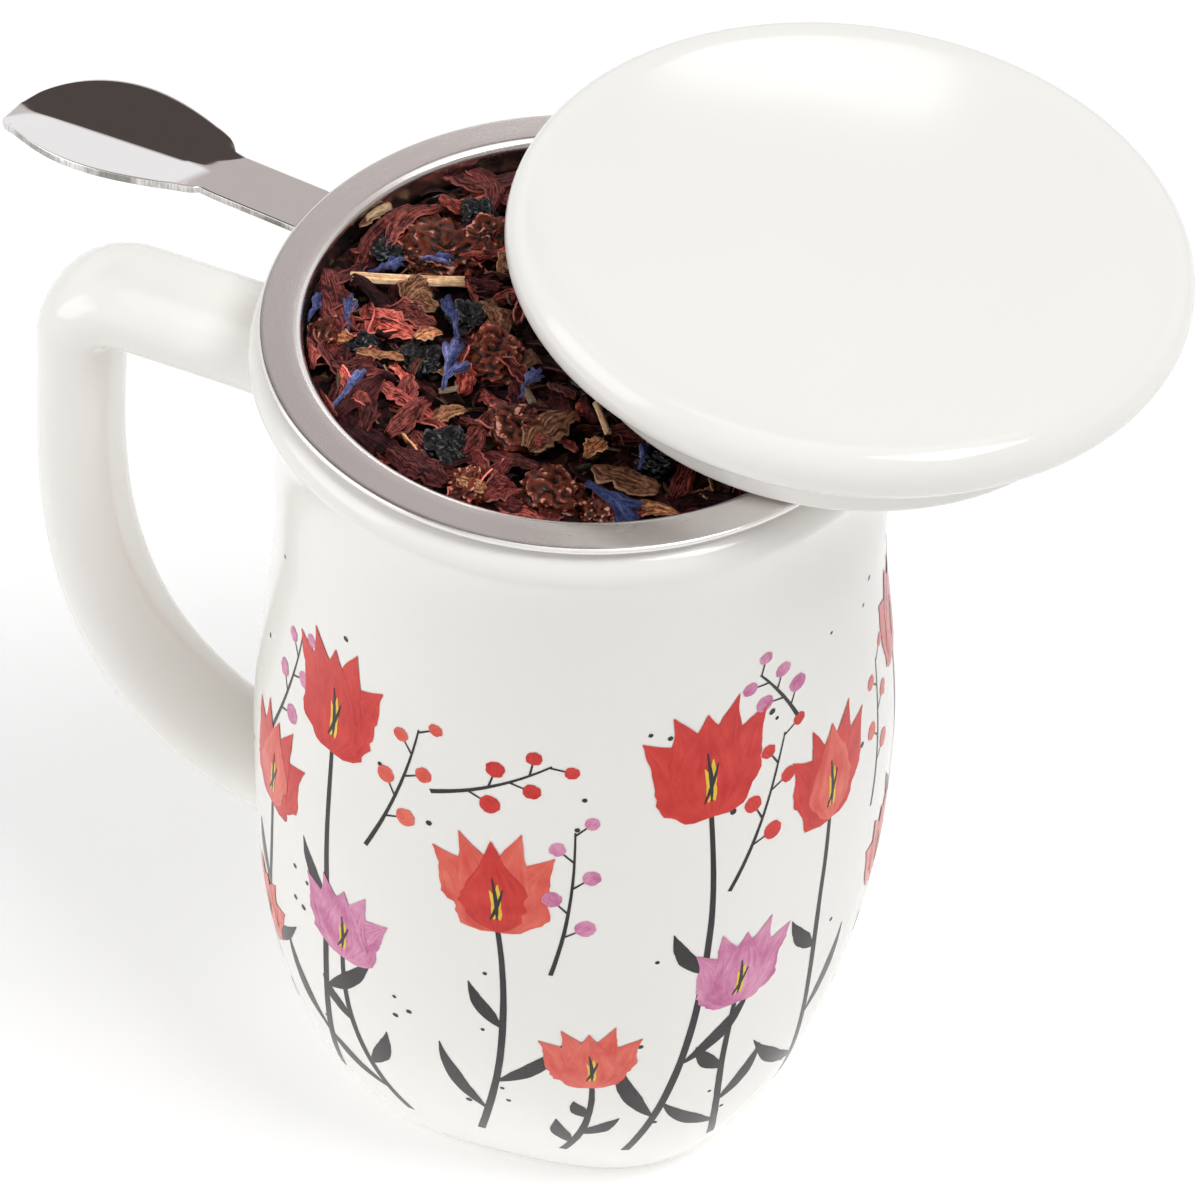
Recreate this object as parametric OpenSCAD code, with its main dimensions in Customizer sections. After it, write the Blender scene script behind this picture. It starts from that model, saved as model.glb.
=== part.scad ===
// Lidded tea mug with a lift-out steel infuser, filled with a loose tea blend.
// Millimetres, +Z up. The origin is the middle of the foot, on the table.
// The mug's handle points to -X, and the flats of the soft-square foot face the axes.

/* [Mug body] */
// Height of the ceramic lip above the table
mug_h = 131.6; // [120:0.2:145]
// Half width of the foot across its flats
foot_r = 29.6; // [27:0.2:33]
// How far the belly stands out past the neck
belly_swell = 3.7; // [1.5:0.1:6]
// Height of the belly above the table
belly_z = 63; // [54:1:70]
// Radius of the neck, the narrowest place below the lip
neck_r = 39.7; // [38.5:0.1:41]
// Height of the neck above the table
neck_z = 104; // [95:1:108]
// How far the lip stands out past the neck
lip_flare = 2.6; // [1.8:0.1:4]
// Height of the lip's rounding, from its widest place to its top
lip_round = 3.2; // [2.4:0.1:4]
// How strongly the heel tucks in towards the foot
heel_pull = 2.8; // [2.3:0.1:3.3]
// How late the neck flares out to the lip
flare_pull = 3.6; // [2.6:0.1:4.4]
// How square the foot is, above the 2 of a circle
foot_square = 0.83; // [0.4:0.01:1.2]
// How fast the square foot turns round on its way up
square_fade = 3.1; // [2:0.1:4]
// Height of the small bevel around the foot
foot_bevel = 0.8; // [0.4:0.1:1.4]
// Thickness of the ceramic wall
body_wall = 3.2; // [2.6:0.1:3.6]
// Thickness of the ceramic floor
body_floor = 5.5; // [4:0.5:8]
// Radius of the round corner between the floor and the wall inside
floor_round = 9; // [5:0.5:12]

/* [Mug handle] */
// Width of the handle, across the grip
grip_w = 16; // [13:0.5:18]
// Thickness of the handle, front to back
grip_t = 10.6; // [9:0.2:12.5]
// Height of the top arm where it leaves the body
arm_z = 118; // [112:0.5:119]
// Upward slope of the top arm, in degrees
arm_slope = 8.5; // [3:0.5:12]
// Reach of the handle's middle line at the top corner
grip_reach = 68.3; // [64:0.5:74]
// Radius of the top corner, at the middle line
corner_round = 7; // [6:0.5:10]
// Length of the pull that keeps the grip straight below the corner
grip_pull = 14; // [8:1:24]
// Height at which the handle comes back to the body
root_z = 36.5; // [32:0.5:44]
// Slope of the handle where it comes back to the body, in degrees
root_slope = 25; // [15:1:35]
// Length of the pull that rounds the lower bend
root_pull = 41; // [34:1:46]
// Depth to which the handle's ends are luted into the wall
handle_sink = 0.6; // [0.3:0.1:1]
// Widening of the handle where it meets the body
handle_flare = 1.0; // [0:0.1:2]

/* [Infuser] */
// How far the lip shows outside the steel flange
lip_show = 1.3; // [0.8:0.1:2]
// Thickness of the flange's sheet
flange_t = 0.7; // [0.5:0.1:0.9]
// Thickness of the flange's rolled edge
bead_d = 1.6; // [1.3:0.1:2]
// Radius of the bend from the flange into the collar
bend_r = 1.3; // [1:0.1:1.8]
// Height of the plain collar below the flange
collar_h = 5; // [4:0.5:8]
// Thickness of the basket's sheet
sheet_t = 0.5; // [0.4:0.05:0.6]
// Gap between the collar and the mug's neck
basket_gap = 0.6; // [0.4:0.05:1]
// How much narrower the basket is at its floor, in radius
basket_taper = 1.2; // [0.6:0.1:2]
// Depth of the basket below the flange's top
basket_depth = 97; // [88:1:100]
// Gap between the flange's rolled edge and the lip
lip_gap = 0.1; // [0.05:0.05:0.2]
// Width of a hole in the basket, corner to corner
hole_d = 2.6; // [1.8:0.1:3]
// Rows of holes in the wall
hole_rows = 6; // [4:1:7]
// Holes around the wall in one row, an even number
holes_round = 20; // [12:2:24]
// Plain band below and above the wall's holes
plain_band = 12; // [8:1:16]
// Rings of holes in the floor
floor_rings = 5; // [3:1:5]

/* [Leaf handle] */
// Direction of the strap, in degrees from +X
leaf_dir = 165.5; // [160:0.5:168]
// Width of the strap
strap_w = 8.4; // [7:0.2:10]
// Thickness of the strap and the leaf
strap_t = 1.0; // [0.8:0.1:1.1]
// Step from the flange's top down to the strap's top
strap_step = 0.3; // [0.2:0.05:0.5]
// Length of the strap from the flange's edge to the leaf
strap_len = 14.5; // [11:0.5:18]
// Length of the leaf
leaf_len = 32; // [26:0.5:34]
// Width of the leaf
leaf_w = 17.5; // [15:0.5:20]
// Depth of the leaf's dish along its midrib
leaf_dish = 1.3; // [0.6:0.1:1.8]
// Downward droop of the leaf, in degrees
leaf_droop = 5; // [2:0.5:6]
// Width of the leaf's blunt tip
tip_w = 3.4; // [2.4:0.2:4.5]
// How much the leaf turns aside from the strap, in degrees
leaf_turn = 1.5; // [0:0.5:5]
// How far the leaf's tip stands to its near side
tip_side = 2.4; // [0:0.1:3]

/* [Lid] */
// How far the lid reaches past the flange when it is on
lid_over = 1.6; // [0.6:0.1:4]
// Thickness of the lid's round edge
lid_edge = 7.6; // [6:0.1:9]
// Rise of the lid's domed top over its edge
lid_dome = 1.6; // [0.8:0.1:3]
// Height of the plug under the lid
plug_h = 8.4; // [6:0.2:10]
// Gap between the plug and the flange when the lid is on
plug_gap = 0.9; // [0.6:0.1:1.4]
// Radius of the plug's lower edge
plug_round = 1.0; // [0.6:0.1:1.6]
// Width of the foot ring under the plug
ring_w = 3.4; // [2.6:0.1:5]
// Height of the foot ring under the plug
ring_h = 0.8; // [0.5:0.05:1.2]
// How far the lid is pushed aside on the flange
lid_shift = 31.5; // [29:0.5:34]
// Direction in which the lid is pushed aside, in degrees from +X
lid_dir = 17; // [0:1:30]
// Gap between the lid and the flange that it leans on
lid_gap = 0.08; // [0.05:0.01:0.15]

/* [Tea] */
// Depth of the tea bed's top below the flange's top
tea_drop = 7.5; // [7:0.5:12]
// Gap between the tea bed and the basket
tea_gap = 0.3; // [0.2:0.05:0.5]
// Spacing of the larger pieces that lie on the tea bed
tea_pitch = 4.1; // [3.9:0.05:4.6]
// Gap between a piece and the bed below it
tea_seat = 0.05; // [0.02:0.01:0.1]
// Diameter of a curled hibiscus petal
petal_d = 6; // [4:0.2:6.2]
// Thickness of a hibiscus petal
petal_t = 0.9; // [0.5:0.1:1.4]
// Height of a hibiscus petal's curl
petal_h = 3.2; // [2:0.2:5]
// Diameter of a rosehip shell
hip_d = 5.6; // [4:0.2:6]
// Diameter of a dark berry
berry_d = 4.6; // [3:0.2:5.6]
// Length of a cornflower petal
floret_l = 6; // [4:0.2:6.4]
// Width of a cornflower petal at its broad end
floret_w = 2; // [1:0.1:2.6]
// Length of a fruit chip
chip_l = 4.6; // [3:0.2:5]
// Width of a fruit chip
chip_w = 3.4; // [2:0.2:4]
// Thickness of a fruit chip
chip_t = 1.5; // [0.8:0.1:2.4]
// Length of a pale stem
stem_l = 6; // [4:0.2:6.4]
// Thickness of a pale stem
stem_d = 1.5; // [1:0.1:2]

/* [Hidden] */

body_sides = 64;
heel_rings = 16;
shoulder_rings = 15;
arc_rings = 5;
cavity_rings = 12;
grip_sides = 24;
grip_square = 2.3;
exact = 96;
cut = 1;

glaze = [0.95, 0.94, 0.92];
steel = [0.72, 0.70, 0.69];
bright_steel = [0.82, 0.81, 0.80];

belly_r = neck_r + belly_swell;
lip_r = neck_r + lip_flare;
lip_z = mug_h - lip_round;
mouth_r = neck_r - body_wall;
crown_r = (lip_r + mouth_r) / 2;

flange_top = mug_h + lip_gap + bead_d;
flange_r = lip_r - lip_show;
collar_r = mouth_r - basket_gap;
opening_r = collar_r - sheet_t;
collar_bottom = flange_top - collar_h;
basket_bottom = flange_top - basket_depth;
wall_h = collar_bottom - basket_bottom;
basket_foot_r = collar_r - basket_taper;

lid_r = flange_r + lid_over;
plug_r = opening_r - plug_gap;
ring_in_r = plug_r - ring_w;

// Outline of the body: half width across the flats at height z
function heel(z) = belly_r - (belly_r - foot_r) * pow(1 - z / belly_z, heel_pull);
function shoulder(z) = neck_r + (belly_r - neck_r) * (1 + cos(180 * (z - belly_z) / (neck_z - belly_z))) / 2;
function flare(z) = neck_r + (lip_r - neck_r) * pow((z - neck_z) / (lip_z - neck_z), flare_pull);
function outline(z) = z < belly_z ? heel(z) : z < neck_z ? shoulder(z) : flare(min(z, lip_z));

// Exponent of the body's section at height z: 2 is a circle, more is a soft square
function squareness(z) = 2 + foot_square * pow(max(1 - z / mug_h, 0), square_fade);

// One ring of the body: half width r across the flats, exponent p, height z
function ring(r, p, z) = [for (i = [0 : body_sides - 1])
    let (a = 360 * i / body_sides, k = pow(pow(abs(cos(a)), p) + pow(abs(sin(a)), p), -1 / p))
    [r * k * cos(a), r * k * sin(a), z]];

// Closes a stack of rings, each a list of as many points, into one solid
module loft(rings) {
    n = len(rings[0]);
    m = len(rings);
    points = concat([for (one = rings, point = one) point], [middle(rings[0]), middle(rings[m - 1])]);
    sides = [for (i = [0 : m - 2], j = [0 : n - 1])
        let (a = i * n + j, b = i * n + (j + 1) % n)
        each [[a, a + n, b + n], [a, b + n, b]]];
    first_cap = [for (j = [0 : n - 1]) [j, (j + 1) % n, m * n]];
    last_cap = [for (j = [0 : n - 1]) [(m - 1) * n + (j + 1) % n, (m - 1) * n + j, m * n + 1]];
    polyhedron(points = points, faces = concat(sides, first_cap, last_cap));
}

function middle(ring) = [for (k = [0 : 2]) sum([for (point = ring) point[k]]) / len(ring)];
function sum(list, i = 0) = i == len(list) ? 0 : list[i] + sum(list, i + 1);

foot_rings = [for (z = [0, foot_bevel]) ring(outline(z) - foot_bevel + z, squareness(z), z)];
heel_stack = [for (i = [1 : heel_rings])
    let (z = foot_bevel + (belly_z - foot_bevel) * pow(i / heel_rings, 1.3))
    ring(outline(z), squareness(z), z)];
shoulder_stack = [for (i = [1 : shoulder_rings])
    let (z = belly_z + (lip_z - belly_z) * i / shoulder_rings) ring(outline(z), squareness(z), z)];
lip_stack = [for (i = [1 : 2 * arc_rings - 1])
    let (a = 90 * i / arc_rings)
    ring(crown_r + (lip_r - mouth_r) / 2 * cos(a), 2, lip_z + lip_round * sin(a))];

// Inside of the body, from the mouth down to the round corner at the floor
function cavity(z) = z > neck_z ? mouth_r : outline(z) - body_wall;
function corner_in(z) = z > body_floor + floor_round ? 0
    : floor_round - sqrt(max(pow(floor_round, 2) - pow(body_floor + floor_round - z, 2), 0));
cavity_stack = [for (i = [0 : cavity_rings])
    let (z = lip_z - (lip_z - body_floor - floor_round) * i / cavity_rings) ring(cavity(z), 2, z)];
corner_stack = [for (i = [1 : arc_rings])
    let (z = body_floor + floor_round * (1 - sin(90 * i / arc_rings)))
    ring(cavity(z) - corner_in(z), 2, z)];

module mug_body() {
    color(glaze) loft(concat(foot_rings, heel_stack, shoulder_stack, lip_stack, cavity_stack, corner_stack));
}

// Middle line of the handle, as [reach, height] in the plane of the handle
corner_x = grip_reach - corner_round;
corner_z = arm_z + (corner_x - outline(arm_z)) * tan(arm_slope) - corner_round / cos(arm_slope);
root_x = outline(root_z);
bend = [
    [grip_reach, corner_z],
    [grip_reach, corner_z - grip_pull],
    [root_x + root_pull * cos(root_slope), root_z + root_pull * sin(root_slope)],
    [root_x, root_z]];
function bezier(p, t) = pow(1 - t, 3) * p[0] + 3 * pow(1 - t, 2) * t * p[1]
    + 3 * (1 - t) * t * t * p[2] + pow(t, 3) * p[3];
function bezier_way(p, t) = pow(1 - t, 2) * (p[1] - p[0]) + 2 * (1 - t) * t * (p[2] - p[1])
    + t * t * (p[3] - p[2]);
function angle_of(v) = atan2(v[1], v[0]);

arm_free = 3;
arm_path = [for (i = [0 : 5])
    let (x = outline(arm_z) + arm_free + (corner_x - corner_round * sin(arm_slope)
        - outline(arm_z) - arm_free) * i / 5)
    [[x, arm_z + (x - outline(arm_z)) * tan(arm_slope)], arm_slope]];
corner_path = [for (i = [1 : 6])
    let (a = arm_slope - (90 + arm_slope) * i / 7)
    [[corner_x - corner_round * sin(a), corner_z + corner_round * cos(a)], a]];
bend_path = [for (i = [0 : 19])
    let (t = i / 20.6) [bezier(bend, t), angle_of(bezier_way(bend, t))]];
grip_path = concat(arm_path, corner_path, bend_path);

// A point of the handle's section, across and through the grip, at angle a
function section(a) = let (k = pow(pow(abs(cos(a)), grip_square) + pow(abs(sin(a)), grip_square), -1 / grip_square))
    [k * cos(a) * grip_w / 2, k * sin(a) * grip_t / 2];
function grip_ring(spot, way) = [for (i = [0 : grip_sides - 1])
    let (s = section(360 * i / grip_sides))
    [-spot[0] + s[1] * sin(way), s[0], spot[1] + s[1] * cos(way)]];
// The ring in which the handle ends, on the body's wall and sunk into it
function root_ring(z0, slope) = [for (i = [0 : grip_sides - 1])
    let (s = section(360 * i / grip_sides) * (1 + handle_flare / grip_t),
        z = z0 + s[1] / cos(slope), p = squareness(z))
    [-pow(pow(outline(z) - handle_sink, p) - pow(abs(s[0]), p), 1 / p), s[0], z]];

module mug_handle() {
    color(glaze) loft(concat([root_ring(arm_z, arm_slope)],
        [for (step = grip_path) grip_ring(step[0], step[1])],
        [root_ring(root_z, -root_slope - 180)]));
}

// The flange's section: rolled edge, sheet, bend and collar
module flange_section() {
    difference() {
        union() {
            translate([opening_r + bend_r, flange_top - flange_t])
                square([flange_r - bead_d / 2 - opening_r - bend_r, flange_t]);
            translate([flange_r - bead_d / 2, flange_top - bead_d / 2]) circle(d = bead_d, $fn = exact);
            translate([opening_r + bend_r, flange_top - bend_r]) circle(r = bend_r, $fn = exact);
        }
        translate([opening_r + sheet_t, collar_bottom]) square([bend_r, collar_h - bend_r]);
        translate([opening_r + bend_r, collar_bottom]) square([bend_r, collar_h - flange_t]);
    }
    translate([opening_r, collar_bottom]) square([sheet_t, collar_h - bend_r]);
}

module infuser_flange() {
    color(steel) rotate_extrude($fn = exact) flange_section();
}

module infuser_wall() {
    first = basket_bottom + plain_band;
    pitch = (wall_h - 2 * plain_band) / (hole_rows - 1);
    color(steel) difference() {
        translate([0, 0, basket_bottom]) cylinder(h = wall_h, r1 = basket_foot_r, r2 = collar_r, $fn = exact);
        translate([0, 0, basket_bottom])
            cylinder(h = wall_h, r1 = basket_foot_r - sheet_t, r2 = collar_r - sheet_t, $fn = exact);
        for (row = [0 : hole_rows - 1], i = [0 : holes_round / 2 - 1])
            translate([0, 0, first + row * pitch])
                rotate([90, 0, 360 * (i + (row % 2) / 2) / holes_round])
                    cylinder(h = 2 * collar_r + cut, d = hole_d, center = true, $fn = 6);
    }
}

module infuser_floor() {
    floor_r = basket_foot_r - sheet_t;
    color(steel) translate([0, 0, basket_bottom]) difference() {
        cylinder(h = sheet_t, r = floor_r, $fn = exact);
        for (ring = [1 : floor_rings], i = [0 : 6 * ring - 1])
            rotate([0, 0, 60 * i / ring])
                translate([floor_r * ring / (floor_rings + 0.6), 0, -cut])
                    cylinder(h = sheet_t + 2 * cut, d = hole_d, $fn = 6);
    }
}

// The leaf handle: [distance from the axis, half width, dish, droop angle share] along its length
strap_top = flange_top - strap_step;
strap_end = flange_r + strap_len;
leaf_steps = 18;
across = [-1, -0.62, -0.28, 0, 0.28, 0.62, 1];
function leaf_half(t) = tip_w / 2 * t + 0.89 * leaf_w / 2 * pow(sin(180 * pow(t, 1.08)), 0.66)
    + strap_w / 2 * pow(1 - t, 4);
function strip(s, half, dish, side, drop) = let (
    top = [for (u = across) [s, u * half + side, dish * abs(u) - drop]],
    low = [for (point = top) point - [0, 0, strap_t]])
    concat(top, [for (i = [len(low) - 1 : -1 : 0]) low[i]]);
strap_start = [for (point = strip(0, strap_w / 2, 0, 0, 0))
    [sqrt(pow(flange_r + lip_gap / 2, 2) - pow(point[1], 2)), point[1], point[2]]];
strap_body = strip(strap_end - 1, strap_w / 2, 0, 0, 0);
leaf_body = [for (i = [1 : leaf_steps])
    let (t = i / leaf_steps, s = leaf_len * t)
    strip(strap_end + s * cos(leaf_droop), leaf_half(t), leaf_dish * sin(180 * pow(t, 0.9)),
        tip_side * pow(t, 10) - s * tan(leaf_turn), s * sin(leaf_droop))];

module leaf_handle() {
    color(bright_steel) rotate([0, 0, leaf_dir]) translate([0, 0, strap_top])
        loft(concat([strap_start], [strap_body], leaf_body));
}

// The lid stands on its foot ring with its axis upright, before it is pushed aside and leans
module lid_section() {
    dome_r = (pow(lid_r - lid_edge / 2, 2) + pow(lid_dome, 2)) / (2 * lid_dome);
    difference() {
        union() {
            square([plug_r - plug_round, plug_h + cut]);
            translate([0, plug_round]) square([plug_r, plug_h + cut - plug_round]);
            translate([plug_r - plug_round, plug_round]) circle(r = plug_round, $fn = exact);
            translate([0, plug_h]) square([lid_r - lid_edge / 2, lid_edge]);
            translate([lid_r - lid_edge / 2, plug_h + lid_edge / 2]) circle(d = lid_edge, $fn = exact);
            intersection() {
                translate([0, plug_h + lid_edge + lid_dome - dome_r]) circle(r = dome_r, $fn = 720);
                translate([0, plug_h + lid_edge / 2]) square([lid_r, lid_edge]);
            }
        }
        translate([-cut, -cut]) square([ring_in_r + cut, ring_h + cut]);
    }
}

// The foot ring bears on the flange's outer edge, and the recess inside it leans on the far edge
contact_x = (pow(lid_shift, 2) + pow(flange_r, 2) - pow(ring_in_r, 2)) / (2 * lid_shift);
lid_lean = atan((ring_h - lid_gap) / (flange_r - contact_x));
lid_z = flange_top + lid_gap - (lid_shift - contact_x) * tan(lid_lean);

module lid() {
    color(glaze) rotate([0, 0, lid_dir]) translate([lid_shift, 0, lid_z]) rotate([0, lid_lean, 0])
        rotate_extrude($fn = exact) lid_section();
}

// The tea: a bed that fills the basket, and pieces set out on it along a spiral
bed_top = flange_top - tea_drop;
bed_bottom = basket_bottom + sheet_t + tea_seat;
function basket_inside(z) = basket_foot_r + basket_taper * (z - basket_bottom) / wall_h - sheet_t - tea_gap;
golden = 137.508;
spots = floor(pow((basket_inside(bed_top) - petal_d / 2) / tea_pitch, 2) - 1);

module tea_bed() {
    color([0.30, 0.13, 0.11]) translate([0, 0, bed_bottom])
        cylinder(h = bed_top - bed_bottom, r1 = basket_inside(bed_bottom), r2 = basket_inside(bed_top), $fn = exact);
}

// Puts its child on every spot of the spiral whose number leaves one of these rests
module scatter(rests) {
    for (i = [0 : spots - 1])
        if (len(search(i % 9, rests)) > 0)
            translate([tea_pitch * sqrt(i + 0.5) * cos(golden * i), tea_pitch * sqrt(i + 0.5) * sin(golden * i),
                bed_top + tea_seat])
                rotate([0, 0, 77 * i]) children();
}

module hibiscus_petals() {
    color([0.36, 0.12, 0.15]) scatter([0, 3, 6, 8]) difference() {
        cylinder(h = petal_h, d = petal_d, $fn = exact);
        translate([petal_t, 0, petal_t]) cylinder(h = petal_h, d = petal_d, $fn = exact);
    }
}

module rosehip_shells() {
    color([0.50, 0.17, 0.10]) scatter([1]) translate([0, 0, hip_d / 2]) sphere(d = hip_d, $fn = exact);
}

module dark_berries() {
    color([0.12, 0.10, 0.11]) scatter([2]) translate([0, 0, berry_d / 2]) sphere(d = berry_d, $fn = exact);
}

module cornflower_petals() {
    color([0.27, 0.31, 0.66]) scatter([4]) translate([-floret_l / 2, 0, floret_w / 2]) rotate([0, 90, 0])
        cylinder(h = floret_l, d1 = floret_w / 4, d2 = floret_w, $fn = exact);
}

module fruit_chips() {
    color([0.66, 0.33, 0.18]) scatter([5]) translate([-chip_l / 2, -chip_w / 2, 0])
        cube([chip_l, chip_w, chip_t]);
}

module pale_stems() {
    color([0.83, 0.70, 0.52]) scatter([7]) translate([-stem_l / 2, 0, stem_d / 2]) rotate([0, 90, 0])
        cylinder(h = stem_l, d = stem_d, $fn = exact);
}

mug_body();
mug_handle();
lid();
infuser_flange();
infuser_wall();
infuser_floor();
leaf_handle();
tea_bed();
hibiscus_petals();
rosehip_shells();
dark_berries();
cornflower_petals();
fruit_chips();
pale_stems();
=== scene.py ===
import math
import random

import bmesh
import bpy
from mathutils import Matrix, Vector, noise


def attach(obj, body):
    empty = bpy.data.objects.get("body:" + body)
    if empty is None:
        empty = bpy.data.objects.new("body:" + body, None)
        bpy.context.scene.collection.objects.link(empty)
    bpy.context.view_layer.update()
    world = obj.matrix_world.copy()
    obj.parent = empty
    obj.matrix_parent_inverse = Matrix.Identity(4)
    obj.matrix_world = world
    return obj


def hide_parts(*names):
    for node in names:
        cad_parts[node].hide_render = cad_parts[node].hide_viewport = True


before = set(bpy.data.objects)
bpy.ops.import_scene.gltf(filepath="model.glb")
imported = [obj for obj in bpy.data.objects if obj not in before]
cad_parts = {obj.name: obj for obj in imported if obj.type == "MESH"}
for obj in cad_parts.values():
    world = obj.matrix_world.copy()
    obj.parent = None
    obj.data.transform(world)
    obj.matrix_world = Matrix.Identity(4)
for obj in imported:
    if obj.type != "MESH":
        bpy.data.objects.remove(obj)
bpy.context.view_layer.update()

# ---- Camera ----
# The camera stands in front of the mug and a little to its right, high enough to look down into the
# infuser, and it is rolled slightly.
camera_place = Vector((0.10107, -0.37985, 0.48126))
camera_target = Vector((-0.00186, 0.01863, 0.065))
camera_roll = math.radians(2.025)
camera_data = bpy.data.cameras.new("camera")
camera_data.lens = 126.0
camera_data.sensor_width = 36.0
camera_data.clip_end = 10.0
camera = bpy.data.objects.new("camera", camera_data)
camera.location = camera_place
camera.rotation_mode = "QUATERNION"
camera.rotation_quaternion = (
    (camera_target - camera_place).to_track_quat("-Z", "Y").to_matrix()
    @ Matrix.Rotation(camera_roll, 3, "Z")
).to_quaternion()
bpy.context.scene.collection.objects.link(camera)
bpy.context.scene.camera = camera
bpy.context.scene.view_settings.view_transform = "Standard"

# ---- Table ----
# A plain white table top that takes the mug's soft shadow. Its lit parts read as pure white and it fades
# into the tent far away. It also glows as painted bounce light, though it is no lamp, and lights the mug
# from below, most of it close to the foot.
table_size = 6.0
table_white = (0.92, 0.92, 0.92)
glow_seen = 0.20
# painted bounce light: the table's glow on the mug, stronger near its foot than far off
glow_near = 0.42
glow_far = 0.13
glow_reach = (0.03, 0.14)
fade_reach = (0.4, 1.2)
fade_glow = 0.6


def opaque(colour):
    """A colour with its alpha. A socket stays as it is."""
    return colour if isinstance(colour, bpy.types.NodeSocket) else (*colour, 1)


def fill(one, inputs):
    """Wires or sets a node's inputs."""
    for key, value in dict(inputs).items():
        if isinstance(value, bpy.types.NodeSocket):
            one.id_data.links.new(value, one.inputs[key])
        else:
            one.inputs[key].default_value = value


def node(tree, kind, inputs=(), **settings):
    """Adds a node, set and wired, and gives its outputs."""
    one = tree.nodes.new("ShaderNode" + kind)
    for key, value in settings.items():
        setattr(one, key, value)
    fill(one, inputs)
    return one.outputs


def calc(tree, operation, *values):
    """One sum on numbers."""
    return node(tree, "Math", enumerate(values), operation=operation)[0]


def vectors(tree, operation, *values):
    """One sum on vectors."""
    return node(tree, "VectorMath", enumerate(values), operation=operation)


def spread(tree, value, low=0.0, high=1.0, to_low=0.0, to_high=1.0):
    """Stretches the part of a value between low and high."""
    span = {"Value": value, "From Min": low, "From Max": high, "To Min": to_low, "To Max": to_high}
    return node(tree, "MapRange", span)["Result"]


def material(name):
    """A new material, its nodes, its shader, and the place on the object that it paints."""
    made = bpy.data.materials.new(name)
    made.use_nodes = True
    tree = made.node_tree
    return made, tree, tree.nodes["Principled BSDF"], node(tree, "TexCoord")["Object"]


bpy.ops.mesh.primitive_plane_add(size=table_size)
table = bpy.context.object
table.name = "table_top"
table_paint, tree, shader, place = material("table_paint")
rays = node(tree, "LightPath")
seen = calc(tree, "MAXIMUM", rays["Is Camera Ray"], rays["Is Glossy Ray"])
from_mug = vectors(tree, "LENGTH", place)["Value"]
glow = spread(tree, seen, 0, 1, spread(tree, from_mug, *glow_reach, glow_near, glow_far), glow_seen)
fade = calc(tree, "MULTIPLY", spread(tree, from_mug, *fade_reach, 0, fade_glow), rays["Is Camera Ray"])
fill(
    shader,
    {
        "Base Color": opaque(table_white),
        "Roughness": 0.9,
        "Specular IOR Level": 0.0,
        "Emission Color": opaque((1, 1, 1)),
        "Emission Strength": calc(tree, "ADD", glow, fade),
    },
)
table.data.materials.append(table_paint)

# ---- Studio light ----
# A white tent with four softboxes: overhead, on the right, on the left, and a small one far behind
# for the lid. Polished steel also finds the tent's grey upper wall, a white card and black flags.
tent_fill = 0.425
tent_white = (1.0, 1.0, 1.0)
tent_grey = (0.60, 0.545, 0.53)
tent_roof = (0.20, 0.19, 0.18)
tent_wall = (
    (0.0, tent_white),
    (0.44, tent_white),
    (0.55, tent_grey),
    (0.78, tent_grey),
    (0.87, tent_roof),
    (1.0, tent_roof),
)
flag_black = (0.085, 0.070, 0.062)
card_blur = 0.5
# the way to each card, its half angle in degrees, its colour
cards = (
    ((0.20, -0.68, 0.70), 33, tent_white),
    ((-0.476, 0.532, 0.70), 12.5, flag_black),
    ((-0.20, 0.43, 0.88), 12.5, flag_black),
    ((-0.33, 0.50, 0.80), 8.5, flag_black),
)
softboxes = (
    ("softbox_top", (0.10, 0.10, 1.30), (0.56, 1.1), 2.1),
    ("softbox_right", (0.645, -0.165, 1.26), (0.52, 0.52), 7.5),
    ("softbox_left", (-0.95, -0.40, 0.50), (0.8, 0.8), 4.2),
    ("softbox_window", (-0.24, 1.72, 1.13), (0.34, 0.17), 0.55),
)
softbox_aim = Vector((0, 0, 0.1))


def mix(tree, share, first, second):
    """Blends two colours."""
    blend = {"Factor": share, "A": opaque(first), "B": opaque(second)}
    return node(tree, "Mix", blend, data_type="RGBA")["Result"]


def ramp(tree, value, stops, interpolation="LINEAR"):
    """Colours a value by its size."""
    colours = node(tree, "ValToRGB", {"Fac": value})["Color"]
    band = colours.node.color_ramp
    band.interpolation = interpolation
    band.elements.remove(band.elements[1])
    band.elements[0].color = opaque(stops[0][1])
    for share, tint in stops[1:]:
        band.elements.new(share).color = opaque(tint)
    return colours


world = bpy.data.worlds.new("studio_tent")
world.use_nodes = True
bpy.context.scene.world = world
sky = world.node_tree
sky.nodes.clear()
sky_way = node(sky, "TexCoord")["Generated"]
sky_rays = node(sky, "LightPath")
wall_shine = ramp(sky, node(sky, "SeparateXYZ", {"Vector": sky_way})["Z"], tent_wall)
for card_way, card_reach, card_tint in cards:
    near = vectors(sky, "DOT_PRODUCT", sky_way, Vector(card_way).normalized())["Value"]
    edge = [math.cos(math.radians(card_reach + blur)) for blur in (card_blur, -card_blur)]
    wall_shine = mix(sky, spread(sky, near, *edge), wall_shine, card_tint)
tent = mix(sky, sky_rays["Is Glossy Ray"], [tent_fill] * 3, wall_shine)
tent = mix(sky, sky_rays["Is Camera Ray"], tent, tent_white)
node(sky, "OutputWorld", {"Surface": node(sky, "Background", {"Color": tent})[0]})
for name, spot, size, power in softboxes:
    lamp = bpy.data.lights.new(name, "AREA")
    lamp.shape = "RECTANGLE"
    lamp.size, lamp.size_y = size
    lamp.energy = power
    softbox = bpy.data.objects.new(name, lamp)
    softbox.location = spot
    softbox.rotation_euler = (softbox_aim - Vector(spot)).to_track_quat("-Z", "Y").to_euler()
    bpy.context.scene.collection.objects.link(softbox)

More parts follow.
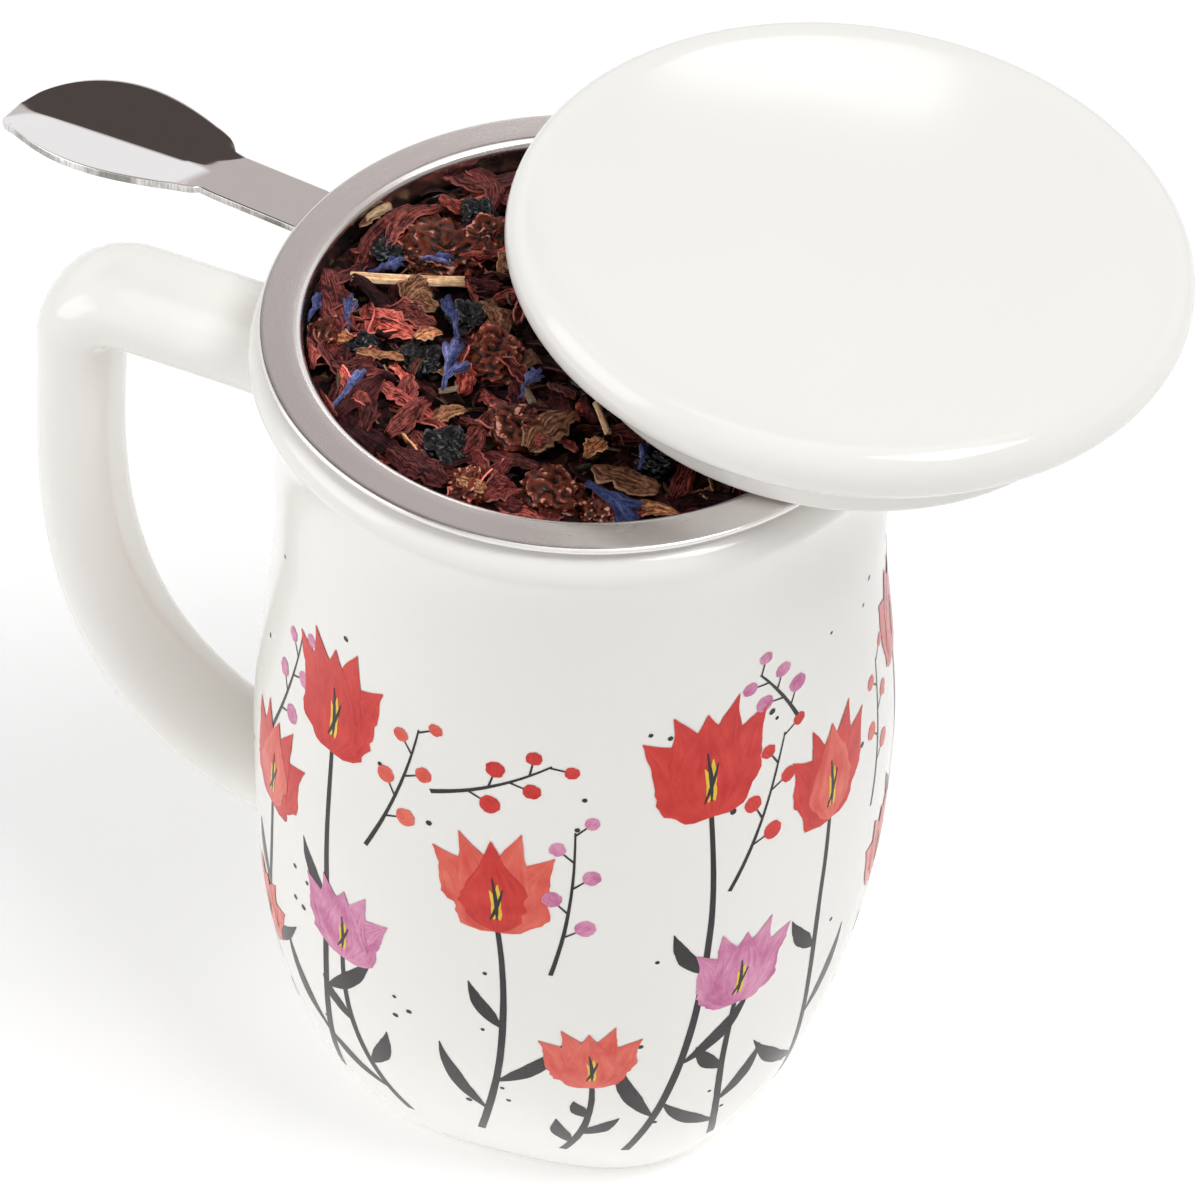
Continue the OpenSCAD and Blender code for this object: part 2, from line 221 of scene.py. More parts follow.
# ---- Mug body ----
# The slip-cast porcelain body. Its section is a circle at the lip and turns to a soft square at the
# foot. The glaze is clear over a cream-white clay, and a bare foot ring stands on the table.
mug_h = 0.1316
foot_r = 0.0296
belly_r = 0.0434
belly_z = 0.063
neck_r = 0.0397
neck_z = 0.104
lip_r = 0.0423
lip_round = 0.0032
lip_z = mug_h - lip_round
heel_pull = 2.8
flare_pull = 3.6
foot_square = 0.83
square_fade = 3.1
foot_bevel = 0.0008
foot_ease = 0.0006
foot_ring_w = 0.0042
foot_recess = 0.0014
foot_slope = 0.004
body_wall = 0.0032
body_floor = 0.0055
floor_round = 0.009
mouth_r = neck_r - body_wall
crown_r = (lip_r + mouth_r) / 2
crown_w = (lip_r - mouth_r) / 2
body_steps = 192
glaze_white = (0.90, 0.880, 0.842)
glaze_pooled = (0.885, 0.868, 0.828)
clay_pale = (0.80, 0.76, 0.69)
clay_dark = (0.70, 0.66, 0.59)


def outline(z):
    """Half width of the body across its flats at height z."""
    if z < belly_z:
        return belly_r - (belly_r - foot_r) * (1 - z / belly_z) ** heel_pull
    if z < neck_z:
        turn = math.pi * (z - belly_z) / (neck_z - belly_z)
        return neck_r + (belly_r - neck_r) * (1 + math.cos(turn)) / 2
    return neck_r + (lip_r - neck_r) * ((min(z, lip_z) - neck_z) / (lip_z - neck_z)) ** flare_pull


def squareness(z):
    """How square the section is at height z: 2 is a circle, and more is squarer."""
    return 2 + foot_square * max(1 - z / mug_h, 0) ** square_fade


def square_press(angle, z):
    """How far out the soft square stands at this angle, as a share of the half width."""
    power = squareness(z)
    return (abs(math.cos(angle)) ** power + abs(math.sin(angle)) ** power) ** (-1 / power)


def cavity(z):
    """Inner radius of the body at height z."""
    inner = mouth_r if z > neck_z else outline(z) - body_wall
    dip = body_floor + floor_round - z
    if dip > 0:
        inner -= floor_round - math.sqrt(max(floor_round**2 - dip**2, 0))
    return inner


def even(first, last, count):
    """Evenly spaced values from first to last, over count steps."""
    return [first + i * (last - first) / count for i in range(count + 1)]


def arc(centre, radius, start, end, count):
    """Points of a round corner from one angle to another, in degrees."""
    turns = [math.radians(turn) for turn in even(start, end, count)]
    return [(centre[0] + radius * math.cos(a), centre[1] + radius * math.sin(a)) for a in turns]


def spun(profile, steps):
    """A profile of (radius, height) points, turned once round the upright axis."""
    mesh = bmesh.new()
    points = [mesh.verts.new((r, 0, z)) for r, z in profile]
    line = [mesh.edges.new(pair) for pair in zip(points, points[1:])]
    round_all = {"axis": (0, 0, 1), "cent": (0, 0, 0), "angle": math.tau, "steps": steps}
    bmesh.ops.spin(mesh, geom=points + line, use_merge=True, **round_all)
    bmesh.ops.remove_doubles(mesh, verts=mesh.verts, dist=1e-6)
    bmesh.ops.recalc_face_normals(mesh, faces=mesh.faces)
    return mesh


def piece(name, mesh, materials, body, slot, *replaced):
    """Makes the finished object, smooth, on its body."""
    data = bpy.data.meshes.new(name)
    mesh.to_mesh(data)
    mesh.free()
    for one in materials:
        data.materials.append(one)
    data.polygons.foreach_set("use_smooth", [True] * len(data.polygons))
    made = bpy.data.objects.new(name, data)
    bpy.context.scene.collection.objects.link(made)
    if replaced:
        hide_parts(*replaced)
    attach(made, body)


def cloud(tree, where, scale, detail=2.0, rough=0.5, warp=0.0):
    """Cloudy noise."""
    look = {"Vector": where, "Scale": scale, "Detail": detail, "Roughness": rough, "Distortion": warp}
    return node(tree, "TexNoise", look)["Fac"]


def bump(tree, height, strength, distance):
    """Relief too fine for the mesh."""
    return node(tree, "Bump", {"Height": height, "Strength": strength, "Distance": distance})[0]


# clear gloss glaze with faint waves, and a warmer tone where it pooled
porcelain_glaze, tree, shader, place = material("porcelain_glaze")
pool = cloud(tree, place, 26.0)
fill(
    shader,
    {
        "Base Color": mix(tree, spread(tree, pool, 0.3, 0.7), glaze_white, glaze_pooled),
        "Roughness": spread(tree, pool, 0, 1, 0.10, 0.17),
        "Normal": bump(tree, cloud(tree, place, 130.0, 1.0), 0.035, 0.0006),
        "IOR": 1.5,
    },
)
clay, tree, shader, place = material("bare_foot_clay")
grain = cloud(tree, place, 900.0, 4.0)
fill(
    shader,
    {
        "Base Color": mix(tree, grain, clay_pale, clay_dark),
        "Roughness": 0.75,
        "Normal": bump(tree, grain, 0.3, 0.0001),
    },
)

foot_in = foot_r - foot_bevel - foot_ring_w
floor_top = body_floor + floor_round
body_profile = [
    (0, foot_recess),
    (foot_in - foot_slope, foot_recess),
    *arc((foot_in - foot_recess, 0), foot_recess, 90, 0, 5),
    (foot_in + foot_ease, 0),
    (foot_r - foot_bevel - foot_ease, 0),
    *((outline(h) - foot_bevel + h, h) for h in (0.0, foot_bevel / 2)),
    *((outline(h), h) for h in even(foot_bevel, lip_z, 96)),
    *((crown_r + crown_w * math.cos(a), lip_z + lip_round * math.sin(a)) for a in even(0, math.pi, 14)[1:-1]),
    *((cavity(h), h) for h in even(lip_z, floor_top, 40)),
    *((cavity(h), h) for h in (floor_top - floor_round * math.sin(a) for a in even(0, math.pi / 2, 8)[1:-1])),
    (cavity(body_floor + 1e-7) - 0.0005, body_floor),
    (0.012, body_floor),
    (0, body_floor),
]
body = spun(body_profile, body_steps)
underside_h = 0.003
bare_h = 0.0003
for v in body.verts:
    on_outside = math.hypot(v.co.x, v.co.y) > outline(v.co.z) - body_wall / 2
    if v.co.z < lip_z and (v.co.z < underside_h or on_outside):
        press = square_press(math.atan2(v.co.y, v.co.x), v.co.z)
        v.co.x *= press
        v.co.y *= press
for f in body.faces:
    centre = f.calc_center_median()
    if centre.z < bare_h and centre.xy.length > foot_in - foot_ease:
        f.material_index = 1
piece("porcelain_body", body, [porcelain_glaze, clay], "mug", "glaze", "mug_body")

# ---- Mug handle ----
# The slip-cast loop handle, luted to the body at two ends and glazed with it. Its section is a plump
# oval, and it swells into a small fillet at each joint.
grip_w = 0.016
grip_t = 0.0106
grip_square = 2.3
grip_sides = 40
arm_z = 0.118
arm_slope = math.radians(8.5)
arm_free = 0.0045
grip_reach = 0.0683
corner_round = 0.007
grip_pull = 0.014
root_z = 0.0365
root_slope = math.radians(25)
root_pull = 0.041
bend_steps = 36
bend_kept = 34
handle_sink = 0.0006
# how far each ring of the fillet stands off the wall, and how much wider than the grip it is
fillet = [(-handle_sink, 0.0014), (0.0002, 0.0009), (0.0008, 0.0005), (0.0020, 0.00015)]
corner_x = grip_reach - corner_round
corner_z = arm_z + (corner_x - outline(arm_z)) * math.tan(arm_slope) - corner_round / math.cos(arm_slope)
root_x = outline(root_z)
bend = [
    Vector((grip_reach, corner_z)),
    Vector((grip_reach, corner_z - grip_pull)),
    Vector((root_x + root_pull * math.cos(root_slope), root_z + root_pull * math.sin(root_slope))),
    Vector((root_x, root_z)),
]


def bend_at(t):
    """A point of the lower bend, and its direction."""
    a, b, c, d = bend
    spot = (1 - t) ** 3 * a + 3 * (1 - t) ** 2 * t * b + 3 * (1 - t) * t * t * c + t**3 * d
    way = (1 - t) ** 2 * (b - a) + 2 * (1 - t) * t * (c - b) + t * t * (d - c)
    return spot, math.atan2(way.y, way.x)


def grip_point(a, swell):
    """A point of the handle's section, across and through the grip."""
    c, s = math.cos(a), math.sin(a)
    k = (abs(c) ** grip_square + abs(s) ** grip_square) ** (-1 / grip_square)
    return k * c * grip_w / 2 + swell * c, k * s * grip_t / 2 + swell * s


def on_wall(across, z, lift):
    """The point of the body's wall beside the handle's plane, at height z."""
    power = squareness(z)
    return Vector((-(((outline(z) + lift) ** power - abs(across) ** power) ** (1 / power)), across, z))


def handle_ring(step):
    """The points of one ring: on the path, or on the wall at either end."""
    angles = [math.tau * i / grip_sides for i in range(grip_sides)]
    if isinstance(step[0], Vector):
        spot, way = step
        ring = [grip_point(a, 0) for a in angles]
        return [Vector((-spot.x + h * math.sin(way), w, spot.y + h * math.cos(way))) for w, h in ring]
    height, slope, lift, swell = step
    height += lift * math.tan(slope)
    ring = [grip_point(a, swell) for a in angles]
    return [on_wall(w, height + h / math.cos(slope), lift) for w, h in ring]


handle_rings = [(arm_z, arm_slope, lift, swell) for lift, swell in fillet]
for x in even(outline(arm_z) + arm_free, corner_x - corner_round * math.sin(arm_slope), 8):
    handle_rings.append((Vector((x, arm_z + (x - outline(arm_z)) * math.tan(arm_slope))), arm_slope))
for a in even(arm_slope, -math.pi / 2, 11)[1:-1]:
    spot = Vector((corner_x - corner_round * math.sin(a), corner_z + corner_round * math.cos(a)))
    handle_rings.append((spot, a))
handle_rings += [bend_at(i / bend_steps) for i in range(bend_kept)]
handle_rings += [(root_z, root_slope - math.pi, lift, swell) for lift, swell in reversed(fillet)]
handle = bmesh.new()
bmesh.ops.create_circle(handle, cap_ends=True, segments=grip_sides, radius=grip_w / 2)
ring_verts = handle.verts[:]
for v, spot in zip(ring_verts, handle_ring(handle_rings[0])):
    v.co = spot
for step in handle_rings[1:]:
    ring_edges = [e for e in handle.edges if e.verts[0] in ring_verts and e.verts[1] in ring_verts]
    grown = bmesh.ops.extrude_edge_only(handle, edges=ring_edges)["geom"]
    pairs = {}
    for v in (v for v in grown if isinstance(v, bmesh.types.BMVert)):
        for e in v.link_edges:
            if e.other_vert(v) in ring_verts:
                pairs[ring_verts.index(e.other_vert(v))] = v
    ring_verts = [pairs[i] for i in range(grip_sides)]
    for v, spot in zip(ring_verts, handle_ring(step)):
        v.co = spot
bmesh.ops.contextual_create(handle, geom=ring_verts)
bmesh.ops.recalc_face_normals(handle, faces=handle.faces)
piece("porcelain_handle", handle, [porcelain_glaze], "mug", "glaze", "mug_handle")

# ---- Lid ----
# The loose porcelain lid: a thick disc with a full round edge and a low dome, over a plug that
# drops into the infuser. It lies pushed aside on the flange and leans over the far edge.
lid_r = 0.0426
lid_edge = 0.0076
lid_dome = 0.0016
plug_h = 0.0084
plug_r = 0.0345
plug_round = 0.001
plug_neck = 0.0012
ring_w = 0.0034
ring_h = 0.0008
ring_round = 0.0004
lid_shift = 0.0315
lid_dir = math.radians(17)
lid_gap = 0.00008
lid_steps = 160
flange_top = 0.1333
flange_r = 0.041
ring_in = plug_r - ring_w
contact_x = (lid_shift**2 + flange_r**2 - ring_in**2) / (2 * lid_shift)
lid_lean = math.atan((ring_h - lid_gap) / (flange_r - contact_x))
lid_z = flange_top + lid_gap - (lid_shift - contact_x) * math.tan(lid_lean)
dome_flat = lid_r - lid_edge / 2
dome_r = (dome_flat**2 + lid_dome**2) / (2 * lid_dome)
dome_top = plug_h + lid_edge + lid_dome
dome_radii = [dome_flat * (1 - i / 20) for i in range(1, 21)]
lid_profile = [
    (0, ring_h),
    (ring_in - 2 * ring_round, ring_h),
    *arc((ring_in - ring_round, ring_h - ring_round), ring_round, 90, 0, 3)[1:],
    (ring_in + 0.0003, 0.00005),
    (ring_in + 0.0008, 0),
    (plug_r - plug_round, 0),
    *arc((plug_r - plug_round, plug_round), plug_round, -90, 0, 5)[1:],
    (plug_r, 0.003),
    (plug_r, plug_h - plug_neck),
    *arc((plug_r + plug_neck, plug_h - plug_neck), plug_neck, 180, 90, 4)[1:],
    (dome_flat - 0.0008, plug_h),
    *arc((dome_flat, plug_h + lid_edge / 2), lid_edge / 2, -90, 78, 18),
    *((r, dome_top - dome_r + math.sqrt(dome_r**2 - r * r)) for r in dome_radii),
]
lid = spun(lid_profile, lid_steps)
lid_place = (
    Matrix.Rotation(lid_dir, 4, "Z")
    @ Matrix.Translation((lid_shift, 0, lid_z))
    @ Matrix.Rotation(lid_lean, 4, "Y")
)
bmesh.ops.transform(lid, verts=lid.verts, matrix=lid_place)
piece("porcelain_lid", lid, [porcelain_glaze], "lid", "glaze", "lid")

# ---- Infuser flange ----
# The steel ring that hangs the infuser in the mug: turned flat, with a thin rounded rim, a seat on
# the lip, a tight bend down into the collar, and a satin finish of fine concentric lines.
flange_t = 0.0007
seat_d = 0.0016
seat_r = flange_r - 0.0011
seat_w = 0.0006
seat_round = 0.0003
rim_d = 0.0009
rim_at = (flange_r - rim_d / 2, flange_top - rim_d / 2)
bend_r = 0.0013
bend_reach = 0.0024
collar_h = 0.005
collar_edge = 0.0012
sheet_t = 0.0005
basket_gap = 0.0006
collar_r = mouth_r - basket_gap
opening_r = collar_r - sheet_t
collar_bottom = flange_top - collar_h
flange_steps = 256
satin_tint = (0.84, 0.81, 0.80)
satin_dull = 0.94


def satin_steel(name, tint, rough, line_scale):
    """Satin stainless steel with fine turned lines round the upright axis."""
    made, tree, shader, place = material(name)
    parts = node(tree, "SeparateXYZ", {"Vector": place})
    flat = node(tree, "CombineXYZ", {"X": parts["X"], "Y": parts["Y"]})[0]
    lift = calc(tree, "ADD", vectors(tree, "LENGTH", flat)["Value"], parts["Z"])
    along = vectors(tree, "NORMALIZE", flat)["Vector"]
    swept = node(tree, "VectorMath", {0: along, "Scale": 0.004}, operation="SCALE")["Vector"]
    lined = vectors(tree, "ADD", swept, node(tree, "CombineXYZ", {"Z": lift})[0])["Vector"]
    lines = cloud(tree, lined, line_scale, 5.0, 0.7)
    hazed = calc(tree, "MULTIPLY", lines, cloud(tree, place, 60.0, 3.0))
    dull = [satin_dull * c for c in tint]
    fill(
        shader,
        {
            "Base Color": mix(tree, spread(tree, lines, 0.3, 0.7), dull, tint),
            "Roughness": spread(tree, hazed, 0.1, 0.45, rough - 0.05, rough + 0.07),
            "Normal": bump(tree, lines, 0.05, 0.00005),
            "Metallic": 1.0,
        },
    )
    return made


flange_steel = satin_steel("turned_satin_steel", satin_tint, 0.25, 2600.0)
bend_at_top = (opening_r + bend_r, flange_top - bend_r)
flange_profile = [
    *((opening_r, h) for h in (collar_bottom, collar_bottom + collar_edge, flange_top - 0.0022)),
    *arc(bend_at_top, bend_r, 180, 90, 12),
    (opening_r + bend_reach, flange_top),
    (flange_r - rim_d, flange_top),
    *arc(rim_at, rim_d / 2, 90, -90, 14),
    (seat_r + 0.0001, flange_top - rim_d),
    (seat_r, flange_top - rim_d - 0.0001),
    *arc((seat_r - seat_round, flange_top - seat_d + seat_round), seat_round, 0, -180, 10),
    (seat_r - seat_w, flange_top - flange_t),
    (opening_r + bend_reach, flange_top - flange_t),
    *arc(bend_at_top, bend_r - sheet_t, 90, 180, 6),
    (collar_r, collar_bottom + collar_edge),
    (collar_r, collar_bottom),
    (opening_r, collar_bottom),
]
flange = spun(flange_profile, flange_steps)
piece("steel_flange", flange, [flange_steel], "infuser", "satin_steel", "infuser_flange")

# ---- Infuser wall ----
# The rolled basket wall below the collar, punched all round with small staggered holes between two
# plain bands, and welded to the collar.
basket_taper = 0.0012
basket_depth = 0.097
basket_bottom = flange_top - basket_depth
wall_h = collar_bottom - basket_bottom
basket_foot_r = collar_r - basket_taper
punch_round = 120
punch_rows = 46
punch_band = 0.0035
punch_h = wall_h - 2 * punch_band
punch_r = 0.00062
punch_inset = 0.18
cell = math.tau * collar_r / punch_round
wall_steel = satin_steel("rolled_satin_steel", (0.72, 0.70, 0.69), 0.27, 900.0)


def punched(mesh, cells, size):
    """Cuts a round hole in each of these square cells of a flat sheet."""
    bmesh.ops.inset_individual(mesh, faces=cells, thickness=size * punch_inset, use_even_offset=True)
    centres = {f: f.calc_center_median() for f in cells}
    bmesh.ops.subdivide_edges(mesh, edges=list({e: 0 for f in cells for e in f.edges}), cuts=1)
    for f, middle in centres.items():
        for v in f.verts:
            v.co = middle + (v.co - middle).normalized() * punch_r
    bmesh.ops.delete(mesh, geom=cells, context="FACES")


wall = bmesh.new()
bmesh.ops.create_grid(wall, x_segments=punch_round, y_segments=punch_rows, size=0.5)
for v in wall.verts:
    v.co = Vector(((v.co.x + 0.5) * cell * punch_round, (v.co.y + 0.5) * punch_h, 0))
wall_cells = []
for f in wall.faces:
    middle = f.calc_center_median()
    column, row = int(middle.x / cell), int(middle.y / punch_h * punch_rows)
    if (column + row) % 2 == 0:
        wall_cells.append(f)
punched(wall, wall_cells, cell)
for edge_y, way in ((0, -1), (punch_h, 1)):
    rim = [e for e in wall.edges if e.is_boundary and all(abs(v.co.y - edge_y) < 1e-6 for v in e.verts)]
    grown = bmesh.ops.extrude_edge_only(wall, edges=rim)["geom"]
    band = [v for v in grown if isinstance(v, bmesh.types.BMVert)]
    bmesh.ops.translate(wall, verts=band, vec=(0, way * punch_band, 0))
for v in wall.verts:
    turn = v.co.x / collar_r
    height = v.co.y + punch_band
    radius = basket_foot_r + basket_taper * height / wall_h
    v.co = Vector((radius * math.cos(turn), radius * math.sin(turn), basket_bottom + height))
bmesh.ops.remove_doubles(wall, verts=wall.verts, dist=1e-5)
bmesh.ops.recalc_face_normals(wall, faces=wall.faces)
bmesh.ops.solidify(wall, geom=wall.faces[:], thickness=sheet_t)
piece("steel_basket_wall", wall, [wall_steel], "infuser", "satin_steel", "infuser_wall")

# ---- Infuser floor ----
# The basket's floor, a disc of steel sheet punched with small staggered holes. Its plain pressed rim
# is spot-welded into the foot of the wall.
floor_r = basket_foot_r - sheet_t
floor_rim = 0.0036
floor_rim_in = floor_r - floor_rim
floor_rim_lap = 0.0006
floor_plain = 0.0016
floor_t = 0.00034
floor_lift = 0.00042
floor_cell = 0.0019
floor_cells = 34


def join_in(made, mesh):
    """Adds one part to its group's mesh."""
    data = bpy.data.meshes.new("joined")
    made.to_mesh(data)
    mesh.from_mesh(data)
    made.free()
    bpy.data.meshes.remove(data)


def face_up(mesh):
    """Turns a flat sheet's faces upwards."""
    bmesh.ops.recalc_face_normals(mesh, faces=mesh.faces)
    if sum(f.normal.z for f in mesh.faces) < 0:
        bmesh.ops.reverse_faces(mesh, faces=mesh.faces)


floor = bmesh.new()
bmesh.ops.create_grid(floor, x_segments=floor_cells, y_segments=floor_cells, size=floor_cell * floor_cells / 2)
outside = [f for f in floor.faces if f.calc_center_median().length > floor_rim_in + floor_rim_lap]
bmesh.ops.delete(floor, geom=outside, context="FACES")
floor_holes = []
for f in floor.faces:
    middle = f.calc_center_median()
    column, row = round(middle.x / floor_cell - 0.5), round(middle.y / floor_cell - 0.5)
    if middle.length < floor_rim_in - floor_plain and (column + row) % 2 == 0:
        floor_holes.append(f)
punched(floor, floor_holes, floor_cell)
bmesh.ops.translate(floor, verts=floor.verts, vec=(0, 0, basket_bottom + floor_lift))
face_up(floor)
bmesh.ops.solidify(floor, geom=floor.faces[:], thickness=floor_t)
# radius, and height over the basket's bottom
floor_edge = (
    (floor_rim_in, 0.0001),
    (floor_rim_in + 0.0003, 0),
    (floor_r - 0.0002, 0),
    (floor_r, 0.0002),
    (floor_r, 0.0009),
    (floor_r - 0.0003, 0.0009),
    (floor_r - 0.0005, 0.0005),
    (floor_rim_in, 0.0005),
    (floor_rim_in, 0.0001),
)
join_in(spun([(r, basket_bottom + h) for r, h in floor_edge], 128), floor)
piece("steel_basket_floor", floor, [wall_steel], "infuser", "satin_steel", "infuser_floor")

# ---- Leaf handle ----
# The lifting handle, one stamped blank of polished sheet: a flat strap welded to the flange's edge,
# and a leaf folded along its midrib into a shallow valley. Its edge is left as the shears cut it.
leaf_dir = math.radians(165.5)
strap_w = 0.0084
strap_t = 0.001
strap_step = 0.0003
strap_len = 0.0145
strap_share = 0.26
leaf_len = 0.032
leaf_w = 0.0175
leaf_full = 0.89
leaf_belly = 1.08
leaf_blunt = 0.66
leaf_droop = math.radians(5)
leaf_turn = math.radians(1.5)
leaf_fold = math.tan(math.radians(9.5))
leaf_columns = 190
leaf_rows = 28
tip_w = 0.0034
tip_side = 0.0024
crease_side = 0.0004
lip_gap = 0.0001
edge_round = 0.00008
strap_top = flange_top - strap_step
strap_end = flange_r + strap_len
leaf_tint = (0.80, 0.785, 0.785)
edge_dull = (0.46, 0.45, 0.43)
edge_bright = (0.78, 0.77, 0.75)
edge_dark_patches = (0.16, 0.15, 0.13)
# where the folded halves rise from the flat ends: a point, the way in, and how wide the change is
far_ends = (((0.0038, 0.0002), (0.795, -0.607), 0.0046), ((0.0272, 0.00085), (-0.538, -0.844), 0.0040))
near_ends = (((0.0008, 0.0), (1.0, 0.0), 0.0080), ((0.0275, 0.00085), (-0.767, 0.642), 0.0040))


def leaf_half(t):
    """Half width of the leaf, from the strap at 0 to the tip at 1."""
    swell = math.sin(math.pi * t**leaf_belly) ** leaf_blunt if 0 < t < 1 else 0
    return tip_w / 2 * t + leaf_full * leaf_w / 2 * swell + strap_w / 2 * (1 - t) ** 4


def leaf_rise(along, side):
    """How far the folded halves stand above the crease. Both ends of the blank stay flat."""
    share = 1
    for spot, way, band in far_ends if side < crease_side else near_ends:
        inside = ((along - spot[0]) * way[0] + (side - spot[1]) * way[1]) / band + 0.5
        inside = min(1, max(0, inside))
        share *= inside * inside * (3 - 2 * inside)
    return leaf_fold * abs(side - crease_side) * share


polished, tree, shader, place = material("polished_steel_leaf")
fill(
    shader,
    {
        "Base Color": opaque(leaf_tint),
        "Metallic": 1.0,
        "Roughness": spread(tree, cloud(tree, place, 700.0, 3.0), 0, 1, 0.05, 0.12),
        "Normal": bump(tree, cloud(tree, place, 90.0), 0.05, 0.0003),
    },
)
edge_steel, tree, shader, place = material("sheared_steel_edge")
upright = node(tree, "Mapping", {"Vector": place, "Scale": (3600.0, 3600.0, 200.0)})["Vector"]
lines = cloud(tree, upright, 1.0, 3.0, 0.7)
fresh = mix(tree, spread(tree, lines, 0.36, 0.60), edge_dull, edge_bright)
# the edge is darker in random patches
dark_patch_share = spread(tree, cloud(tree, place, 130.0), 0.50, 0.66, 0, 0.75)
fill(
    shader,
    {
        "Base Color": mix(tree, dark_patch_share, fresh, edge_dark_patches),
        "Metallic": 1.0,
        "Roughness": 0.38,
        "Normal": bump(tree, lines, 0.25, 0.00006),
    },
)
leaf = bmesh.new()
bmesh.ops.create_grid(leaf, x_segments=leaf_columns, y_segments=leaf_rows, size=1)
for v in leaf.verts:
    way, side = (v.co.x + 1) / 2, v.co.y
    if way < strap_share:
        across = side * strap_w / 2
        start = math.sqrt((flange_r + lip_gap / 2) ** 2 - across**2)
        v.co = Vector((start + (strap_end - start) * (way / strap_share), across, 0))
    else:
        t = (way - strap_share) / (1 - strap_share)
        reach = leaf_len * t
        across = side * leaf_half(t) + tip_side * t**10 - reach * math.tan(leaf_turn)
        sink = reach * math.sin(leaf_droop) * min(1, t / 0.15)
        v.co = Vector((strap_end + reach * math.cos(leaf_droop), across, -sink))
    v.co.z += leaf_rise(v.co.x - strap_end, v.co.y)
face_up(leaf)
bmesh.ops.solidify(leaf, geom=leaf.faces[:], thickness=strap_t)
leaf_rims = [e for e in leaf.edges if len(e.link_faces) == 2 and e.calc_face_angle(0) > math.radians(50)]
rounding = {"offset": edge_round, "offset_type": "OFFSET", "segments": 2, "profile": 0.5}
bmesh.ops.bevel(leaf, geom=leaf_rims, affect="EDGES", material=-1, **rounding)
for f in leaf.faces:
    f.material_index = 1 if abs(f.normal.z) < 0.35 else 0
leaf_place = Matrix.Rotation(leaf_dir, 4, "Z") @ Matrix.Translation((0, 0, strap_top))
bmesh.ops.transform(leaf, verts=leaf.verts, matrix=leaf_place)
piece("steel_leaf_handle", leaf, [polished, edge_steel], "infuser", "polished_steel", "leaf_handle")

# ---- Tea bed ----
# The finely cut tea that fills the basket, a crumbly heap of dark leaf and broken petals, painted near
# black, also as shade in the gaps between the pieces on top. Its top is uneven, and loose shreds of leaf
# lie all over it.
tea_drop = 0.0075
tea_gap = 0.0003
tea_seat = 0.00005
tea_ceiling = 0.1325
tea_lean = 0.0002
bed_top = flange_top - tea_drop
bed_bottom = basket_bottom + sheet_t + tea_seat
bed_steps = 160
bed_rings = 34
bed_sink = 0.0006
bed_round = 0.0005
heap_rise = 0.0028
heap_front = 0.0006
heap_swell = 0.0011
heap_bank = 0.0020
heap_dip = 0.0018
heap_edge = 0.0005
crumb = 0.0013
crumb_fine = 0.0005
shred_reach = 0.0335
shred_len = (0.0014, 0.0042)
shred_lift = (-0.0003, 0.0009)
shred_t = 0.00018
# near-black cut leaf in random cells: partly the leaf's own colour, partly painted shade for the gaps between
# pieces
bed_tints_and_gap_shade = (
    (0.0, (0.010, 0.006, 0.006)),
    (0.45, (0.030, 0.010, 0.012)),
    (0.70, (0.055, 0.018, 0.014)),
    (0.88, (0.11, 0.05, 0.03)),
    (0.96, (0.20, 0.12, 0.07)),
)
piece_shades = (
    (0.0, (0.12, 0.13, 0.18)),
    (0.30, (0.33, 0.31, 0.38)),
    (0.50, (0.74, 0.66, 0.66)),
    (0.75, (1.60, 1.50, 1.30)),
    (1.0, (3.20, 2.60, 2.20)),
)
tea_random = random.Random(11)
draw = tea_random.uniform


def basket_inside(z):
    """Radius of the tea bed at height z."""
    return basket_foot_r + basket_taper * (z - basket_bottom) / wall_h - sheet_t - tea_gap


def heap(x, y):
    """Height of the bed's uneven top."""
    near = heap_front * (-y) / 0.035
    swell = heap_swell * noise.noise(Vector((x, y, 0.2)) * 70)
    bits = crumb * noise.noise(Vector((x, y, 0)) * 420) + crumb_fine * noise.noise(Vector((x, y, 0)) * 1100)
    bank = heap_bank * (max(0, -x) / 0.034) ** 2
    edge = max(0, math.hypot(x, y) - 0.031) / 0.004
    dip = heap_dip * min(1, max(0, x + 0.004) / 0.022)
    return bed_top + heap_rise + near + bank - dip + swell + bits - heap_edge * min(1, edge) ** 2


def streaks(tree, stretch, scale, detail, rough, apart):
    """Streaks along each strand, its tone at random, and where the surface lies across it."""
    strand_place = node(tree, "UVMap", uv_map="strand")["UV"]
    own = node(tree, "NewGeometry")["Random Per Island"]
    look = {
        "Vector": node(tree, "Mapping", {"Vector": strand_place, "Scale": (*stretch, 1.0)})["Vector"],
        "W": calc(tree, "MULTIPLY", own, apart),
        "Scale": scale,
        "Detail": detail,
        "Roughness": rough,
    }
    across = node(tree, "SeparateXYZ", {"Vector": strand_place})["Y"]
    return node(tree, "TexNoise", look, noise_dimensions="4D")["Fac"], own, across


